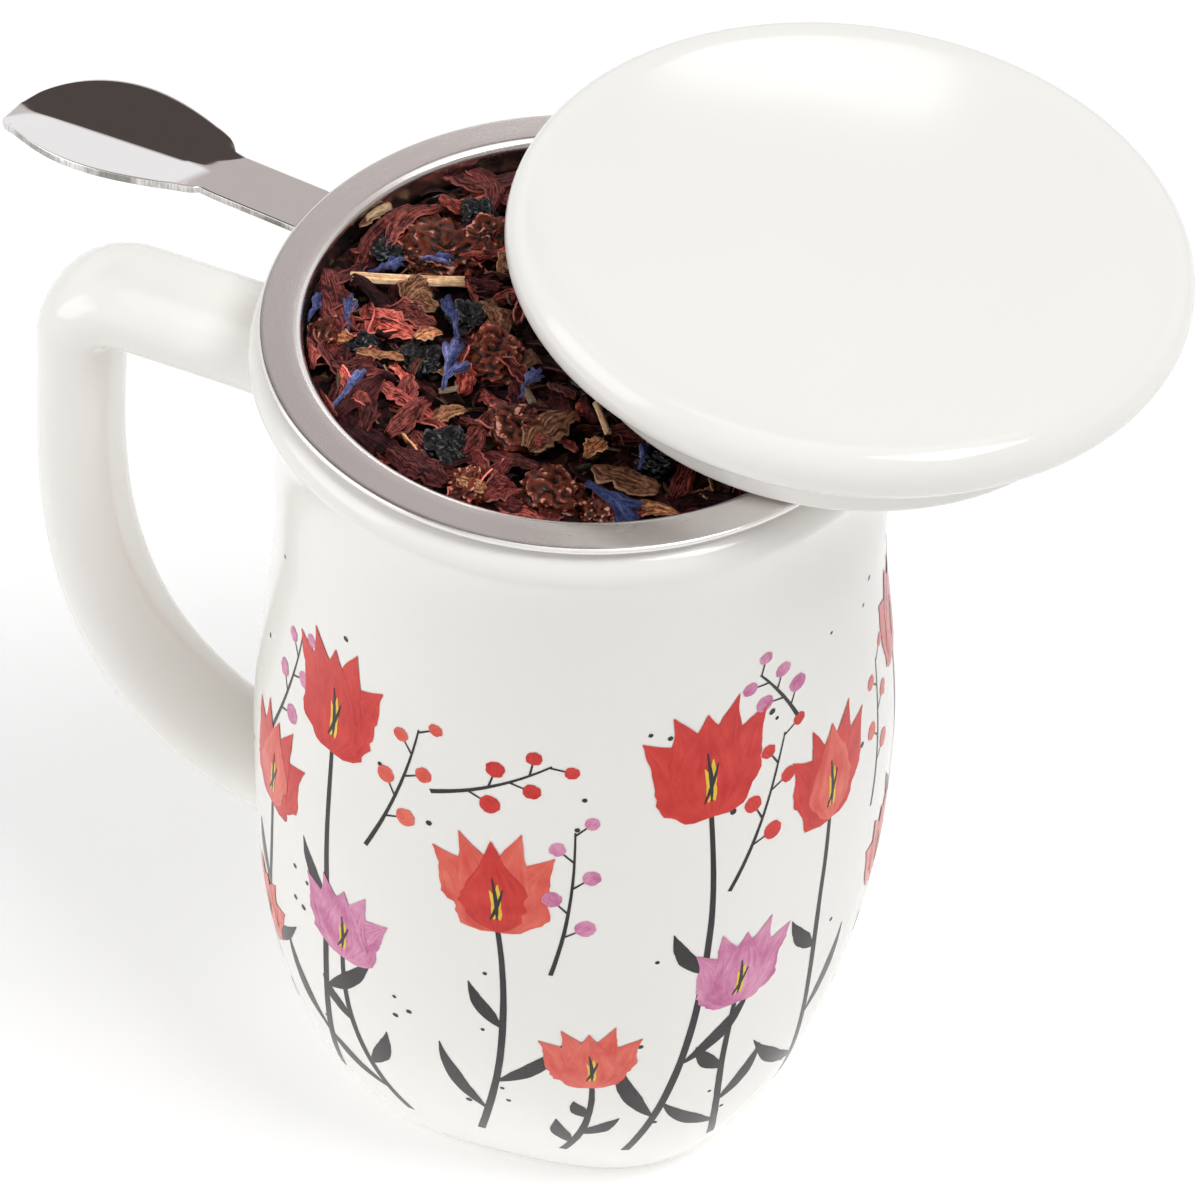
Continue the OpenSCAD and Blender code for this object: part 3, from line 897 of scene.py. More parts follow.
def vein_paint(name, dark, pale, vein_scale, rough, shade_depth=0.5, shine=0.12):
    """Dried plant matter: streaked, paler along both edges as painted highlight and as the dry edge's own
    colour, and darker or paler from piece to piece.
    """
    made, tree, shader, place = material(name)
    streak, own, across = streaks(tree, (1.2, vein_scale), 3.0, 6.0, 0.65, 40.0)
    speck = cloud(tree, place, 1400.0, 4.0, 0.7)
    blend = calc(tree, "MULTIPLY_ADD", speck, 0.3, calc(tree, "MULTIPLY", streak, 0.7))
    streaked = mix(tree, spread(tree, blend, 0.46, 0.58), dark, pale)
    # paler along both edges: partly the dry edge's own colour, partly a painted highlight
    edge = calc(tree, "ABSOLUTE", calc(tree, "SUBTRACT", across, 0.5))
    edge_highlight_tint = [min(1, 1.7 * c + 0.05) for c in pale]
    colour = mix(tree, spread(tree, edge, 0.40, 0.50, 0, 0.55), streaked, edge_highlight_tint)
    shades = [(share, [1 + (c - 1) * shade_depth for c in shade]) for share, shade in piece_shades]
    fill(
        shader,
        {
            "Base Color": vectors(tree, "MULTIPLY", colour, ramp(tree, own, shades))["Vector"],
            "Roughness": rough,
            "Specular IOR Level": shine,
            "Normal": bump(tree, blend, 0.9, 0.0005),
        },
    )
    return made


def strand_grid(columns, rows):
    """A flat grid from -1 to 1, with a UV map that runs along and across it."""
    made = bmesh.new()
    bmesh.ops.create_grid(made, x_segments=columns, y_segments=rows, size=1)
    layer = made.loops.layers.uv.new("strand")
    for f in made.faces:
        for loop in f.loops:
            loop[layer].uv = ((loop.vert.co.x + 1) / 2, (loop.vert.co.y + 1) / 2)
    return made


def settle(made, mesh):
    """Keeps one piece inside the basket and under the lid, and adds it to its group's mesh."""
    for v in made.verts:
        v.co.z = max(v.co.z, bed_top - 0.002)
        radius = math.hypot(v.co.x, v.co.y)
        limit = basket_inside(min(v.co.z, collar_bottom)) - tea_lean
        if radius > limit:
            v.co.x *= limit / radius
            v.co.y *= limit / radius
    over = max(v.co.z for v in made.verts) - tea_ceiling
    if over > 0:
        bmesh.ops.translate(made, verts=made.verts, vec=(0, 0, -over))
    join_in(made, mesh)


def strand(mesh, columns, rows, form, where, thickness):
    """Adds one strand: a flat sheet that form(t, s) shapes, given a thickness and set in its place."""
    made = strand_grid(columns, rows)
    for v in made.verts:
        v.co = form((v.co.x + 1) / 2, v.co.y)
    bmesh.ops.recalc_face_normals(made, faces=made.faces)
    bmesh.ops.solidify(made, geom=made.faces[:], thickness=thickness)
    bmesh.ops.transform(made, verts=made.verts, matrix=where)
    settle(made, mesh)


def lay(x, y, lift, turn, tilt=0.0, roll=0.0):
    """Where a strand lies: a place on the heap, a heading, and how it leans."""
    return (
        Matrix.Translation((x, y, heap(x, y) + lift))
        @ Matrix.Rotation(turn, 4, "Z")
        @ Matrix.Rotation(tilt, 4, "Y")
        @ Matrix.Rotation(roll, 4, "X")
    )


def any_way():
    """A heading at random."""
    return math.tau * tea_random.random()


def strewn(count, reach):
    """Places over the bed, at random."""
    for _ in range(count):
        radius, turn = reach * math.sqrt(tea_random.random()), any_way()
        yield radius * math.cos(turn), radius * math.sin(turn)


bed_foot_r = basket_inside(bed_bottom)
bed_profile = [(0, bed_bottom), (bed_foot_r - bed_round, bed_bottom), (bed_foot_r, bed_bottom + bed_round)]
bed_profile += [(basket_inside(h), h) for h in (bed_bottom + 0.03, bed_bottom + 0.06, bed_top - 0.002)]
bed_profile += [
    (basket_inside(bed_top) * (1 - i / (bed_rings + 1)) ** 0.9, bed_top) for i in range(bed_rings + 2)
]
bed = spun(bed_profile, bed_steps)
for v in bed.verts:
    if v.co.z > bed_top - 0.0005:
        v.co.z = heap(v.co.x, v.co.y) - bed_sink
bed_paint, tree, shader, place = material("cut_tea")
cells = node(tree, "TexVoronoi", {"Vector": place, "Scale": 620.0, "Randomness": 1.0})
cell_share = node(tree, "SeparateColor", {"Color": cells["Color"]})["Red"]
fill(
    shader,
    {
        "Base Color": ramp(tree, cell_share, bed_tints_and_gap_shade, "CONSTANT"),
        "Roughness": 0.75,
        "Specular IOR Level": 0.05,
        "Normal": bump(tree, cells["Distance"], 0.9, 0.0004),
    },
)
piece("cut_tea_bed", bed, [bed_paint], "infuser", "tea_leaf", "tea_bed")

shred_paint = vein_paint("dry_leaf_shreds", (0.006, 0.0025, 0.0025), (0.085, 0.030, 0.022), 3.0, 0.6, 0.9)
tan_paint = vein_paint("tan_leaf_bits", (0.09, 0.05, 0.025), (0.42, 0.29, 0.17), 3.0, 0.7)
green_paint = vein_paint("green_leaf_bits", (0.03, 0.035, 0.015), (0.20, 0.19, 0.10), 3.0, 0.7)
for name, paint, count, wide in (
    ("leaf_shreds", shred_paint, 460, 0.00075),
    ("tan_leaf_bits", tan_paint, 70, 0.0006),
    ("green_leaf_bits", green_paint, 50, 0.0007),
):
    shreds = bmesh.new()
    for x, y in strewn(count, shred_reach):
        length = draw(*shred_len)
        width = wide * draw(0.5, 1.3)
        hump = draw(-0.25, 0.35) * length

        def shred_form(t, s):
            arch = math.sin(math.pi * t)
            return Vector(((t - 0.5) * length, s * width / 2 * (0.5 + arch / 2), hump * arch))

        where = lay(x, y, draw(*shred_lift), any_way(), draw(-0.5, 0.5), draw(-1, 1))
        strand(shreds, 3, 1, shred_form, where, shred_t)
    piece(name, shreds, [paint], "infuser", "tea_leaf")

# ---- Hibiscus petals ----
# Dried hibiscus sepals: leathery strips of dark wine red to near black, ribbed along their length,
# with edges that curled inwards as they dried. Some kept a rosier red.
hibiscus_paint = vein_paint("dried_hibiscus", (0.010, 0.0025, 0.0035), (0.38, 0.095, 0.088), 10.0, 0.30, 1.0)
rosy_paint = vein_paint("rosy_hibiscus", (0.065, 0.006, 0.008), (0.68, 0.17, 0.14), 8.0, 0.30, 0.8)
# how many strips, and how far from the middle they reach
hibiscus_strewn = (150, 0.0325)
rosy_strewn = (60, 0.032)
petal_torn = 0.45
petal_t = 0.0002
rim_strips = 40


def petal(mesh, where, length, width, curl, arch, twist, rows=8):
    """One leathery strip: ribbed along its length, torn along both edges, rolled, bent and twisted."""
    seed = draw(0, 50)
    roll = curl * (1 if noise.noise(Vector((seed, 3.1, 0))) > -0.15 else -0.8)
    side_bend = 1.1 * noise.noise(Vector((seed, 0, 7.7)))

    def form(t, s):
        edge = 1 if s > 0 else -1
        tear = 1 + petal_torn * noise.noise(Vector((t * 6.5, edge * 4, seed)))
        tear += 0.6 * petal_torn * noise.noise(Vector((t * 19, edge * 9, seed)))
        half = width / 2 * (0.25 + 0.75 * math.sin(math.pi * (0.04 + 0.92 * t) ** 0.85)) * tear
        crumple = 0.16 * width * noise.noise(Vector((t * 4, s * 1.7, seed + 5)))
        ribs = 0.022 * width * math.sin(s * 12 + 2.5 * noise.noise(Vector((t * 2, 0, seed))))
        turn = roll * (0.8 + 0.5 * math.sin(3 * t + seed)) or 0.01
        across = half * math.sin(turn * s) / turn
        rise = -half * (1 - math.cos(turn * s)) / abs(turn) * (1 if roll > 0 else -1) + ribs + crumple
        lean = twist * (t - 0.5)
        way = 3.2 * arch * (t - 0.5)
        along = length * (t - 0.5) * (1 - way * way / 6)
        bow = -length * way * (t - 0.5) / 2
        aside = side_bend * length * (t - 0.5) ** 2 + across * math.cos(lean) - rise * math.sin(lean)
        lift = bow + across * math.sin(lean) + rise * math.cos(lean) + 0.25 * arch * length
        return Vector((along, aside, lift))

    strand(mesh, 18, rows, form, where, petal_t)


def placed_petals(mesh, table, lift, tilt, roll, twist, rows=8):
    """Strips at x and y in mm, with heading in degrees, length and width in mm, curl and arch."""
    for x, y, turn, length, width, curl, arch in table:
        where = lay(x / 1000, y / 1000, lift, math.radians(turn), draw(-tilt, tilt), draw(-roll, roll))
        petal(mesh, where, length / 1000, width / 1000, curl, arch, draw(-twist, twist), rows)


def strewn_petals(mesh, places, lift, tilt, roll, length, width, curl, arch, twist):
    """Strips all over the bed, each with a size and a curl drawn from these ranges."""
    for x, y in places:
        where = lay(x, y, draw(*lift), any_way(), draw(-tilt, tilt), draw(-roll, roll))
        petal(mesh, where, draw(*length), draw(*width), draw(*curl), draw(*arch), draw(-twist, twist))


hibiscus = bmesh.new()
hibiscus_table = (
    (-23.4, -20.6, 59, 9.5, 3.6, 0.9, 0.16),
    (-17.7, -18.5, -23, 8.5, 3.4, 0.9, 0.14),
    (-20.2, -26.0, -27, 11.0, 5.2, 0.8, 0.10),
    (-12.6, -29.6, -25, 9.0, 4.4, 0.9, 0.10),
    (-16.4, -21.8, 71, 8.0, 3.2, 1.2, 0.20),
    (-4.6, -13.4, 110, 9.0, 3.0, 1.2, 0.18),
    (-7.6, -21.2, 85, 9.5, 3.2, 1.1, 0.20),
    (-22.1, -3.9, -5, 7.2, 4.2, 0.8, 0.18),
    (-30.8, 10.4, 75, 13.0, 3.2, 1.0, 0.12),
    (-28.2, 13.4, 70, 10.5, 2.8, 1.0, 0.14),
    (-23.7, 23.6, -18, 8.0, 3.2, 0.9, 0.14),
    (-25.6, -14.6, 30, 6.0, 3.2, 1.1, 0.16),
    (0.4, -12.4, -39, 5.6, 2.6, 1.1, 0.16),
    (18.8, -23.6, 39, 7.0, 2.8, 1.1, 0.12),
)
placed_petals(hibiscus, hibiscus_table, 0.0019, 0.12, 0.35, 0.6, rows=14)
hibiscus_cut = ((0.006, 0.012), (0.0020, 0.0042), (0.7, 2.4), (-0.05, 0.2), 1.2)
strewn_petals(hibiscus, strewn(*hibiscus_strewn), (-0.0006, 0.0018), 0.35, 0.9, *hibiscus_cut)
for i in range(rim_strips):
    bearing = math.tau * (i + draw(-0.3, 0.3)) / rim_strips
    reach = draw(0.0305, 0.0325)
    x, y = reach * math.cos(bearing), reach * math.sin(bearing)
    lift, turn = draw(0.0006, 0.0016), bearing + math.pi / 2 + draw(-0.5, 0.5)
    where = lay(x, y, lift, turn, draw(-0.25, 0.25), draw(0.1, 0.7))
    length, width = draw(0.006, 0.010), draw(0.0022, 0.0038)
    petal(hibiscus, where, length, width, draw(0.6, 1.6), draw(0.0, 0.15), draw(-0.8, 0.8))
piece("hibiscus_strips", hibiscus, [hibiscus_paint], "infuser", "hibiscus", "hibiscus_petals")

rosy = bmesh.new()
rosy_table = (
    (-31.4, -4.6, -62, 13.0, 4.8, 0.9, 0.14),
    (-29.4, -13.0, -51, 10.5, 3.8, 1.1, 0.16),
    (-24.1, -6.4, -23, 8.5, 4.2, 1.0, 0.22),
    (-19.4, 23.6, -55, 9.5, 3.6, 0.8, 0.16),
    (-13.6, -25.6, -37, 4.8, 3.0, 1.0, 0.20),
    (-2.6, -29.4, 39, 4.6, 4.0, 1.3, 0.28),
    (-31.6, -14.6, -60, 6.0, 2.8, 1.0, 0.18),
    (-27.0, -23.2, -45, 6.0, 2.6, 1.0, 0.18),
)
placed_petals(rosy, rosy_table, 0.0021, 0.1, 0.4, 0.5)
rosy_cut = ((0.003, 0.006), (0.0014, 0.003), (0.6, 1.4), (0.0, 0.25), 1.0)
strewn_petals(rosy, strewn(*rosy_strewn), (0.0006, 0.0018), 0.4, 0.8, *rosy_cut)
piece("rosy_hibiscus_strips", rosy, [rosy_paint], "infuser", "hibiscus")

# ---- Rosehips and raisins ----
# Dried rosehip shells and raisins: translucent red-brown skins that shrank into deep wrinkles, tacky
# enough to shine, with painted shade in their folds and painted glints on their crests. They lie loose on the
# heap.
# darkest skin, palest skin, and the painted glint on the crests
rosehip_colours = ((0.012, 0.0018, 0.0012), (0.36, 0.065, 0.026), (0.78, 0.36, 0.28))
rosehip_lift = 0.0014
rosehip_depth = 0.17
coat_rough = 0.13
skin_shine = 0.08


def fruit_paint(name, dark, pale, glint_tint, rough, coat):
    """Wrinkled dried fruit, glossy: painted shade in its folds, painted light on its ridges, painted glints on
    the crests.
    """
    made, tree, shader, place = material(name)
    own = node(tree, "NewGeometry")
    wrinkles = cloud(tree, place, 420.0, 2.5, 0.5, 2.2)
    # painted shade in the folds and painted light on the ridges, read from the surface's curvature
    curvature_shading = spread(tree, own["Pointiness"], 0.47, 0.60)
    tone = spread(tree, calc(tree, "MULTIPLY_ADD", wrinkles, 0.6, curvature_shading), 0.35, 1.25)
    level = spread(tree, own["Random Per Island"], 0, 1, 0.6, 1.3)
    skin = {0: mix(tree, tone, dark, pale), "Scale": level}
    toned = node(tree, "VectorMath", skin, operation="SCALE")["Vector"]
    # painted glints on the crests of the wrinkles
    painted_glint = spread(tree, calc(tree, "MULTIPLY", wrinkles, curvature_shading), 0.31, 0.43)
    fill(
        shader,
        {
            "Base Color": mix(tree, painted_glint, toned, glint_tint),
            "Roughness": rough,
            "Coat Weight": coat,
            "Coat Roughness": coat_rough,
            "Specular IOR Level": skin_shine,
            "Normal": bump(tree, wrinkles, 0.7, 0.0004),
        },
    )
    return made


def wrinkled(mesh, where, size, depth):
    """One dried fruit: a ball that shrank into ridges and folds."""
    seed = draw(0, 50)
    ball = bmesh.new()
    bmesh.ops.create_icosphere(ball, subdivisions=5, radius=0.5)
    for v in ball.verts:
        way = v.co.normalized()
        drift = [noise.noise(way * 2 + Vector(shift)) for shift in ((seed, 9, 0), (9, seed, 0))]
        folded = way + 0.8 * Vector((*drift, 0))
        lengthwise = Vector((folded.x * 0.6, folded.y * 2.0, folded.z * 2.0))
        ridge = max(-0.3, 1 - abs(noise.noise(lengthwise * 1.1 + Vector((seed, 0, 0)))) * 4.0)
        fine = max(-0.3, 1 - abs(noise.noise(lengthwise * 2.6 + Vector((0, seed, 0)))) * 3.4)
        lump = noise.noise(way * 1.2 + Vector((0, 0, seed)))
        hollow = 0.30 * max(0, way.z) ** 6
        swell = 1 + depth * (ridge + 0.35 * fine - 0.40) + 0.36 * lump - hollow
        v.co = Vector((way.x * size[0], way.y * size[1], way.z * size[2])) * 0.5 * swell
    bmesh.ops.transform(ball, verts=ball.verts, matrix=where)
    settle(ball, mesh)


rosehip_paint = fruit_paint("dried_rosehip", *rosehip_colours, 0.45, 0.25)
rosehips = bmesh.new()
# x and y of the middle, length, width, height, in millimetres
for x, y, *size in (
    (-22.4, 11.2, 10.8, 10.2, 4.8),
    (-17.4, 14.8, 6.4, 6.4, 4.6),
    (-10.4, -6.4, 8.0, 8.8, 5.2),
    (-3.2, -18.6, 7.4, 6.6, 5.0),
    (3.8, -27.6, 7.6, 7.2, 5.2),
    (-32.0, -10.4, 5.6, 7.0, 4.0),
    (-6.4, -30.4, 4.8, 4.4, 3.8),
    (9.6, -29.2, 5.8, 3.8, 3.0),
    (-12.0, 25.0, 6.0, 5.0, 4.0),
    (7.0, 6.0, 8.0, 6.0, 4.6),
    (18.0, 14.0, 7.0, 6.0, 4.6),
    (20.0, -8.0, 7.0, 6.0, 4.6),
    (6.0, 24.0, 7.0, 6.0, 4.6),
):
    where = lay(x / 1000, y / 1000, rosehip_lift, any_way(), draw(-0.3, 0.3), draw(-0.3, 0.3))
    wrinkled(rosehips, where, [side / 1000 for side in size], rosehip_depth)
piece("rosehip_pieces", rosehips, [rosehip_paint], "infuser", "rosehip", "rosehip_shells")

# ---- Dark berries ----
# Whole dried elderberries and bilberries, blue-black, finely puckered and slightly waxy. They lie
# loose among the petals.
# darkest skin, palest skin, and the painted glint on the crests
berry_colours = ((0.0015, 0.0015, 0.002), (0.016, 0.014, 0.017), (0.11, 0.12, 0.14))
berry_form = (0.88, 0.84, 0.76)
berry_lift = 0.0018
berry_depth = 0.16
berry_paint = fruit_paint("dried_dark_berry", *berry_colours, 0.4, 0.3)
berries = bmesh.new()
# x and y of the middle, and size, in millimetres
for x, y, size in (
    (-28.6, 7.0, 5.4),
    (-18.4, -10.4, 7.0),
    (-15.1, -1.3, 5.8),
    (-10.8, -24.8, 7.6),
    (-19.8, 18.8, 5.2),
    (-26.0, -10.4, 5.0),
    (2.0, -8.0, 5.0),
    (14.0, -18.0, 5.2),
    (12.0, 2.0, 5.2),
    (-2.0, 16.0, 5.2),
    (22.0, 4.0, 5.2),
    (10.0, 16.0, 5.2),
):
    where = lay(x / 1000, y / 1000, berry_lift, any_way())
    wrinkled(berries, where, [size * side / 1000 for side in berry_form], berry_depth)
piece("dried_dark_berries", berries, [berry_paint], "infuser", "berry", "dark_berries")

# ---- Cornflower petals ----
# Bright blue ray florets, dried whole: each a thin pinched tube that opens into a ragged fan of
# narrow lobes. They lie on top of the heap.
cornflower_paint = vein_paint("dried_cornflower", (0.040, 0.050, 0.19), (0.27, 0.33, 0.72), 9.0, 0.6)
floret_t = 0.00014
floret_lift = 0.0032


def floret(mesh, where, length, width):
    """One floret: a pinched tube and a fan of lobes at its far end."""
    seed = draw(0, 50)
    for lobe in (-1, 0, 1):

        def form(t, s):
            open_at = max(0, t - 0.35) / 0.65
            fan = lobe * width * 0.36 * open_at**1.3
            half = width * (0.08 + 0.15 * math.sin(math.pi * min(1, open_at * 0.95 + 0.02)) + 0.04 * open_at)
            wave = 0.0005 * noise.noise(Vector((t * 5, lobe, seed)))
            lift = 0.10 * length * math.sin(math.pi * t) + 0.0003 * lobe * open_at
            tip = 1 - 0.12 * abs(lobe) - 0.05 * math.sin(seed + lobe)
            return Vector(((t * tip - 0.5) * length, fan + s * half + wave, lift - abs(s) * half * 0.8))

        strand(mesh, 10, 2, form, where, floret_t)


cornflowers = bmesh.new()
# x and y of the middle, heading in degrees, length and width, in millimetres
for x, y, turn, length, width in (
    (-16.6, -2.8, 116, 8.6, 2.6),
    (-14.6, -10.6, 99, 8.4, 2.6),
    (-13.4, -12.8, 80, 7.4, 2.2),
    (-29.2, -6.0, 105, 7.6, 2.2),
    (-33.6, -6.4, 88, 5.4, 2.0),
    (-24.8, -17.8, 82, 12.0, 2.4),
    (-4.0, -11.4, 84, 7.0, 2.2),
    (11.2, -27.4, -28, 9.0, 4.4),
    (12.8, -19.4, 94, 5.0, 1.8),
    (-27.6, 3.6, 44, 5.4, 2.0),
    (-21.8, 7.0, 20, 4.6, 1.8),
    (4.0, 12.0, 10, 7.0, 2.6),
    (16.0, 8.0, 130, 7.0, 2.6),
    (-6.0, 27.0, 60, 7.0, 2.6),
    (20.0, -14.0, 30, 7.0, 2.6),
):
    where = lay(x / 1000, y / 1000, floret_lift, math.radians(turn), draw(-0.15, 0.15), draw(-0.5, 0.5))
    floret(cornflowers, where, length / 1000, width / 1000)
piece("cornflower_florets", cornflowers, [cornflower_paint], "infuser", "cornflower", "cornflower_petals")

# ---- Fruit chips ----
# Curled slivers of dried apple and orange peel, amber streaked with brown. The large ones lie on top,
# and small ones are strewn all over.
chip_paint = vein_paint("dried_fruit_chip", (0.11, 0.028, 0.012), (0.68, 0.34, 0.18), 5.0, 0.32)
chips_strewn = (26, 0.032)
chips = bmesh.new()
chip_table = (
    (0.4, -18.0, 70, 9.8, 4.8, 0.9, 0.20),
    (11.4, -23.4, -14, 9.0, 5.4, 0.5, 0.10),
    (15.8, -26.4, -6, 7.4, 2.6, 0.7, 0.10),
    (-12.2, -0.6, -47, 6.4, 6.0, 0.8, 0.12),
    (-22.4, 1.8, 67, 6.6, 4.6, 1.2, 0.30),
    (-21.0, -1.2, -9, 3.8, 2.8, 1.0, 0.22),
    (-23.1, -12.0, 13, 6.0, 2.4, 1.0, 0.14),
    (-5.4, -30.6, -31, 4.2, 3.2, 0.9, 0.20),
    (-32.4, 12.6, 66, 5.0, 2.6, 0.8, 0.15),
    (-18.6, -7.0, 40, 3.6, 2.6, 0.9, 0.20),
    (-12.5, -19.0, 50, 5.0, 2.6, 0.8, 0.18),
    (-17.4, 17.0, -4, 2.6, 1.8, 0.8, 0.15),
    (-13.5, 10.0, 80, 5.0, 2.2, 0.8, 0.15),
    (-6.0, 6.0, -40, 6.0, 3.0, 0.8, 0.15),
    (4.0, -2.0, 20, 6.0, 4.0, 0.8, 0.15),
    (14.0, 18.0, 20, 6.0, 4.0, 0.8, 0.15),
    (24.0, 12.0, 70, 6.0, 4.0, 0.8, 0.15),
    (0.0, 22.0, 120, 6.0, 4.0, 0.8, 0.15),
)
placed_petals(chips, chip_table, 0.0024, 0.15, 0.35, 0.4)
chip_cut = ((0.003, 0.006), (0.0016, 0.0034), (0.6, 1.4), (0.0, 0.25), 0.8)
strewn_petals(chips, strewn(*chips_strewn), (0.0004, 0.0018), 0.4, 0.6, *chip_cut)
piece("fruit_peel_chips", chips, [chip_paint], "infuser", "fruit", "fruit_chips")

# ---- Pale stems ----
# Short lengths of split dry stalk, straw-coloured and fibrous, cut off square. They lie flat on top
# of the petals.
stem_paint = vein_paint("dry_pale_stem", (0.42, 0.26, 0.14), (0.86, 0.68, 0.46), 6.0, 0.55)
stem_t = 0.00035


def stalk(mesh, where, length, width):
    """One split stalk: a shallow gutter with fibres along it."""
    seed = draw(0, 50)

    def form(t, s):
        frayed = 1 + 0.16 * noise.noise(Vector((t * 6, s, seed)))
        along = (t - 0.5) * length + 0.0003 * noise.noise(Vector((s * 3, seed, 0)))
        gutter = 0.35 * width * (1 - s * s) + 0.00006 * math.sin(9 * s) + 0.0002 * math.sin(3 * t + seed)
        return Vector((along, s * width / 2 * frayed, gutter))

    strand(mesh, 12, 5, form, where, stem_t)


stems = bmesh.new()
# x and y of the middle, heading in degrees, length, width and lift, in millimetres
for x, y, turn, length, width, lift in (
    (-24.2, 2.4, 14, 14.4, 1.9, 2.8),
    (-32.0, 13.6, 60, 4.4, 1.6, 2.4),
    (-17.8, 16.4, 40, 2.6, 1.2, 2.6),
    (-3.4, -13.6, 125, 3.0, 1.1, 3.2),
    (-13.0, -16.0, 20, 2.4, 1.0, 3.0),
    (6.0, -14.0, -60, 6.0, 0.9, 2.0),
    (9.0, 10.0, 25, 6.0, 1.5, 2.0),
    (17.0, -2.0, 95, 5.0, 1.4, 2.0),
    (-2.0, 30.0, 5, 5.0, 1.4, 2.0),
):
    where = lay(x / 1000, y / 1000, lift / 1000, math.radians(turn))
    stalk(stems, where, length / 1000, width / 1000)
piece("pale_stem_pieces", stems, [stem_paint], "infuser", "stem", "pale_stems")

# ---- Printed meadow ----
# A glaze-fired transfer print all round the body: tulips in red, coral and pink on slim ink stems,
# with willow leaves, berry sprigs and a few specks, each painted with one stroke of a soft brush.
print_random = random.Random(5)
print_colours = {
    "red": ((0.55, 0.016, 0.014), (0.72, 0.050, 0.036)),
    "coral": ((0.68, 0.065, 0.045), (0.82, 0.17, 0.12)),
    "pink": ((0.52, 0.11, 0.28), (0.76, 0.33, 0.50)),
    "ink": ((0.012, 0.010, 0.010), (0.032, 0.027, 0.027)),
    "yellow": ((0.80, 0.45, 0.02), (0.90, 0.62, 0.08)),
}
print_lift = {"ink": 0.00004, "coral": 0.00006, "pink": 0.00006, "red": 0.00006, "yellow": 0.00014}
petal_lift = 0.000012
stamen_lift = 0.00002
foot_margin = 0.002
brush_loose = 0.16
petal_loose = 0.30
sprig_bow = 0.25
sprig_berries = 5
first_berry = 0.30
berry_apart = 0.17
berry_swing = 48
berry_stalk = 0.0022
berry_w = 0.0029
berry_shrink = 0.00022
specks = 110
speck_w = (0.0005, 0.0011)
# lean from the head's heading in degrees, length and half width as shares of the head, back or front
tulip_petals = (
    (30, 0.90, 0.25, 0),
    (-30, 0.88, 0.25, 0),
    (13, 1.02, 0.20, 0),
    (-14, 0.98, 0.20, 0),
    (0, 0.90, 0.25, 1),
)
tulip_heart = (
    (8, 0.36, 0.034, "yellow", 0),
    (-12, 0.30, 0.030, "yellow", 0),
    (-2, 0.42, 0.012, "ink", stamen_lift),
    (20, 0.34, 0.010, "ink", stamen_lift),
)
# how far up the stem, which side, and length
stem_leaves = ((0.16, 1, 0.017), (0.34, -1, 0.015), (0.60, 1, 0.010))


def on_body(angle, z, lift):
    """A point of the body's outer face, lifted by the print's thickness."""
    reach = outline(z) * square_press(angle, z) + lift
    return Vector((reach * math.cos(angle), reach * math.sin(angle), z))


def brush_paint(name, deep, light):
    """Fired enamel: pigment streaked along each stroke and clouded, deeper and lighter by turns."""
    made, tree, shader, place = material("print_" + name)
    streak = streaks(tree, (1.5, 7.0), 1.6, 4.0, 0.5, 30.0)[0]
    wash = calc(tree, "ADD", streak, cloud(tree, place, 260.0, 3.0))
    fill(
        shader,
        {
            "Base Color": mix(tree, spread(tree, wash, 0.75, 1.25), deep, light),
            "Roughness": 0.22,
            "Specular IOR Level": 0.3,
        },
    )
    return made


def steered(heading, along, across):
    """A step along and across a stroke, as a step round and up the body."""
    return (
        along * math.cos(heading) - across * math.sin(heading),
        along * math.sin(heading) + across * math.cos(heading),
    )


def stroke(colour, start, way, length, half, bow=0.0, grid=(14, 4), lift=0.0, loose=brush_loose):
    """One brush stroke on the body. start is (angle, height), way its heading from level, in degrees."""
    made = strand_grid(*grid)
    seed = print_random.uniform(0, 60)
    for v in made.verts:
        t, s = (v.co.x + 1) / 2, v.co.y
        wobble = noise.noise(Vector((t * 4, s, seed))) + 0.5 * noise.noise(Vector((t * 14, s, seed)))
        across = s * half(t) * (1 + loose * wobble) + bow * length * t * (t - 1) / 2
        x, z = steered(math.radians(way), length * t, across)
        height = max(start[1] + z, foot_margin)
        angle = math.radians(start[0]) + x / outline(start[1])
        v.co = on_body(angle, height, print_lift[colour] + lift)
    bmesh.ops.remove_doubles(made, verts=made.verts, dist=2e-6)
    join_in(made, prints[colour])


def stroke_point(start, way, length, bow=0.0, t=1.0):
    """A point of a bowed stroke, and its heading there."""
    x, z = steered(math.radians(way), length * t, bow * length * t * (t - 1) / 2)
    spot = (start[0] + math.degrees(x / outline(start[1])), start[1] + z)
    return spot, way + math.degrees(bow * (2 * t - 1) / 2)


def leaf_shape(wide, tip=0.8):
    """A stroke that swells and comes to a point."""
    return lambda t: 0.00008 + wide * math.sin(math.pi * min(1, t) ** tip) ** 1.1


def line_shape(first, last):
    """A stroke of even width, thinner at its end."""
    return lambda t: first + (last - first) * t


def drop_shape(wide):
    """A round dab."""
    return lambda t: 0.00005 + wide * math.sqrt(max(0, 1 - (2 * t - 1) ** 2))


def tulip(start, way, size, back, front):
    """A tulip head: four petals behind, one in front, with a yellow heart and ink stamens."""
    for layer, (swing, share, wide, is_front) in enumerate(tulip_petals):
        foot = (start[0] + 0.02 * swing * size / 0.014, start[1])
        colour = front if is_front else back
        bow, shape = math.radians(-1.2 * swing), leaf_shape(size * wide, 0.66)
        lift = petal_lift * layer
        stroke(colour, foot, way - swing, size * share, shape, bow, (22, 6), lift, petal_loose)
    for swing, share, wide, colour, over in tulip_heart:
        foot = stroke_point(start, way + swing, size * 0.14)[0]
        lift = print_lift["yellow"] + over - print_lift[colour]
        stroke(colour, foot, way - swing, size * share, leaf_shape(size * wide), 0.2, (6, 2), lift)


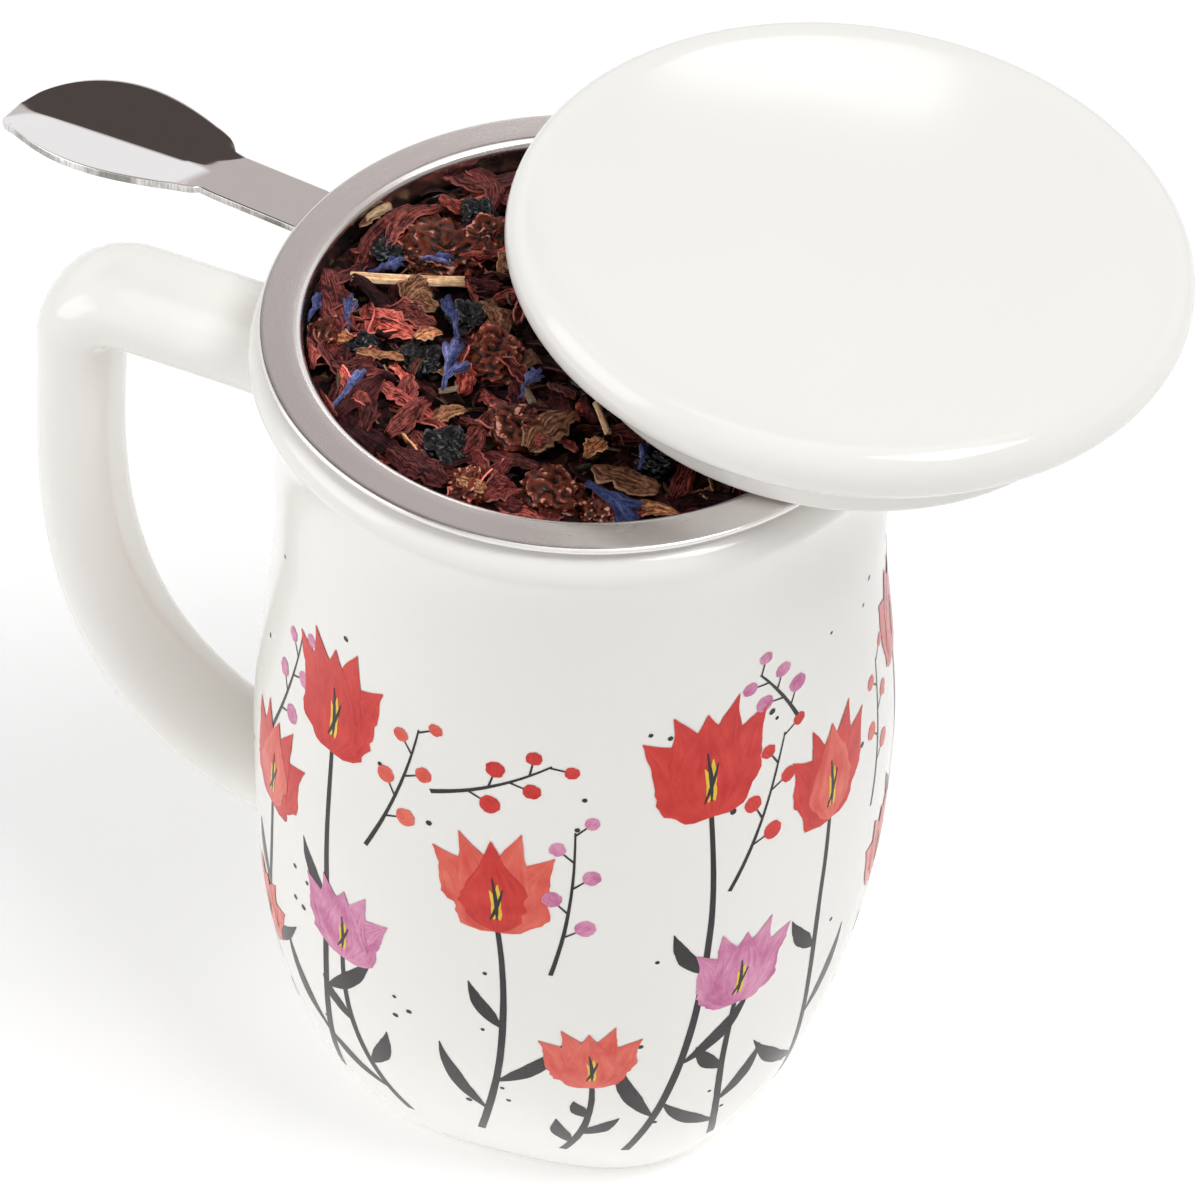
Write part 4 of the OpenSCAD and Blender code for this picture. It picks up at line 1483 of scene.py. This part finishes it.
def sprig(start, way, length, colour):
    """A thin twig with round berries on both sides."""
    stroke("ink", start, way, length, line_shape(0.00032, 0.00014), sprig_bow, (12, 1))
    for i in range(sprig_berries):
        foot, foot_way = stroke_point(start, way, length, sprig_bow, first_berry + berry_apart * i)
        stalk_way = foot_way + (berry_swing if i % 2 else -berry_swing)
        stroke("ink", foot, stalk_way, berry_stalk, line_shape(0.00016, 0.00012), 0, (3, 1))
        tip = stroke_point(foot, stalk_way, 0.0019)[0]
        size = berry_w - berry_shrink * i
        stroke(colour, tip, stalk_way, size, drop_shape(size * 0.46), 0, (8, 4))


prints = {name: bmesh.new() for name in print_colours}
# angle round the body, height of the foot, stem heading, stem length, bow, head colours, head size
for angle, foot, way, length, bow, back, front, size in (
    (-152, 0.018, 80, 0.046, 0.35, "red", "coral", 0.0165),
    (-141, 0.010, 96, 0.024, -0.40, "coral", "coral", 0.0130),
    (-127, 0.014, 88, 0.070, 0.22, "red", "red", 0.0185),
    (-110, 0.012, 98, 0.036, -0.35, "pink", "pink", 0.0150),
    (-93, 0.014, 86, 0.052, 0.34, "coral", "red", 0.0175),
    (-75, 0.012, 82, 0.022, 0.40, "coral", "coral", 0.0140),
    (-62, 0.013, 84, 0.072, 0.26, "red", "red", 0.0190),
    (-43, 0.012, 92, 0.036, -0.30, "pink", "pink", 0.0150),
    (-24, 0.013, 90, 0.060, -0.26, "red", "coral", 0.0170),
    (-6, 0.012, 82, 0.032, 0.35, "coral", "red", 0.0150),
    (14, 0.013, 92, 0.068, -0.25, "red", "red", 0.0180),
    (34, 0.012, 84, 0.040, 0.35, "pink", "pink", 0.0145),
    (54, 0.013, 94, 0.062, -0.30, "red", "coral", 0.0175),
    (74, 0.012, 84, 0.030, 0.35, "coral", "red", 0.0145),
    (93, 0.013, 92, 0.068, -0.26, "red", "red", 0.0180),
    (113, 0.012, 86, 0.040, 0.30, "pink", "pink", 0.0145),
    (132, 0.013, 94, 0.060, -0.30, "red", "coral", 0.0170),
    (151, 0.016, 88, 0.034, 0.30, "coral", "coral", 0.0145),
):
    start = (angle, foot)
    stroke("ink", start, way, length, line_shape(0.00055, 0.00030), bow, (40, 1))
    tulip(*stroke_point(start, way, length, bow, 0.985), size, back, front)
    for share, side, leaf_size in stem_leaves:
        middle, middle_way = stroke_point(start, way, length, bow, share)
        leaf_length, shape = leaf_size * min(1, length / 0.045), leaf_shape(0.0011, 0.85)
        stroke("ink", middle, middle_way + side * 30, leaf_length, shape, -side * 0.5, (16, 3))
# angle round the body, height, heading, length, colour
for angle, height, way, length, colour in (
    (-143, 0.074, 76, 0.022, "pink"),
    (-113, 0.072, 74, 0.024, "coral"),
    (-101, 0.086, 28, 0.018, "red"),
    (-78, 0.058, 84, 0.026, "pink"),
    (-47, 0.070, 66, 0.024, "red"),
    (-30, 0.092, 120, 0.014, "pink"),
    (-9, 0.064, 80, 0.024, "coral"),
    (24, 0.084, 64, 0.020, "red"),
    (40, 0.068, 110, 0.018, "coral"),
    (66, 0.062, 84, 0.024, "pink"),
    (80, 0.088, 112, 0.016, "red"),
    (104, 0.070, 74, 0.022, "coral"),
    (122, 0.088, 60, 0.018, "pink"),
    (146, 0.072, 96, 0.024, "red"),
):
    sprig((angle, height), way, length, colour)
for _ in range(specks):
    spot = (print_random.uniform(-158, 158), print_random.uniform(0.02, 0.105))
    size = print_random.uniform(*speck_w)
    stroke("ink", spot, print_random.uniform(0, 180), size, drop_shape(size * 0.4), 0, (5, 2))
for name, mesh in prints.items():
    bmesh.ops.recalc_face_normals(mesh, faces=mesh.faces)
    inward = []
    for f in mesh.faces:
        f.normal_update()
        if f.normal.xy.dot(f.calc_center_median().xy) < 0:
            inward.append(f)
    bmesh.ops.reverse_faces(mesh, faces=inward)
    piece("print_" + name, mesh, [brush_paint(name, *print_colours[name])], "mug", "glaze")
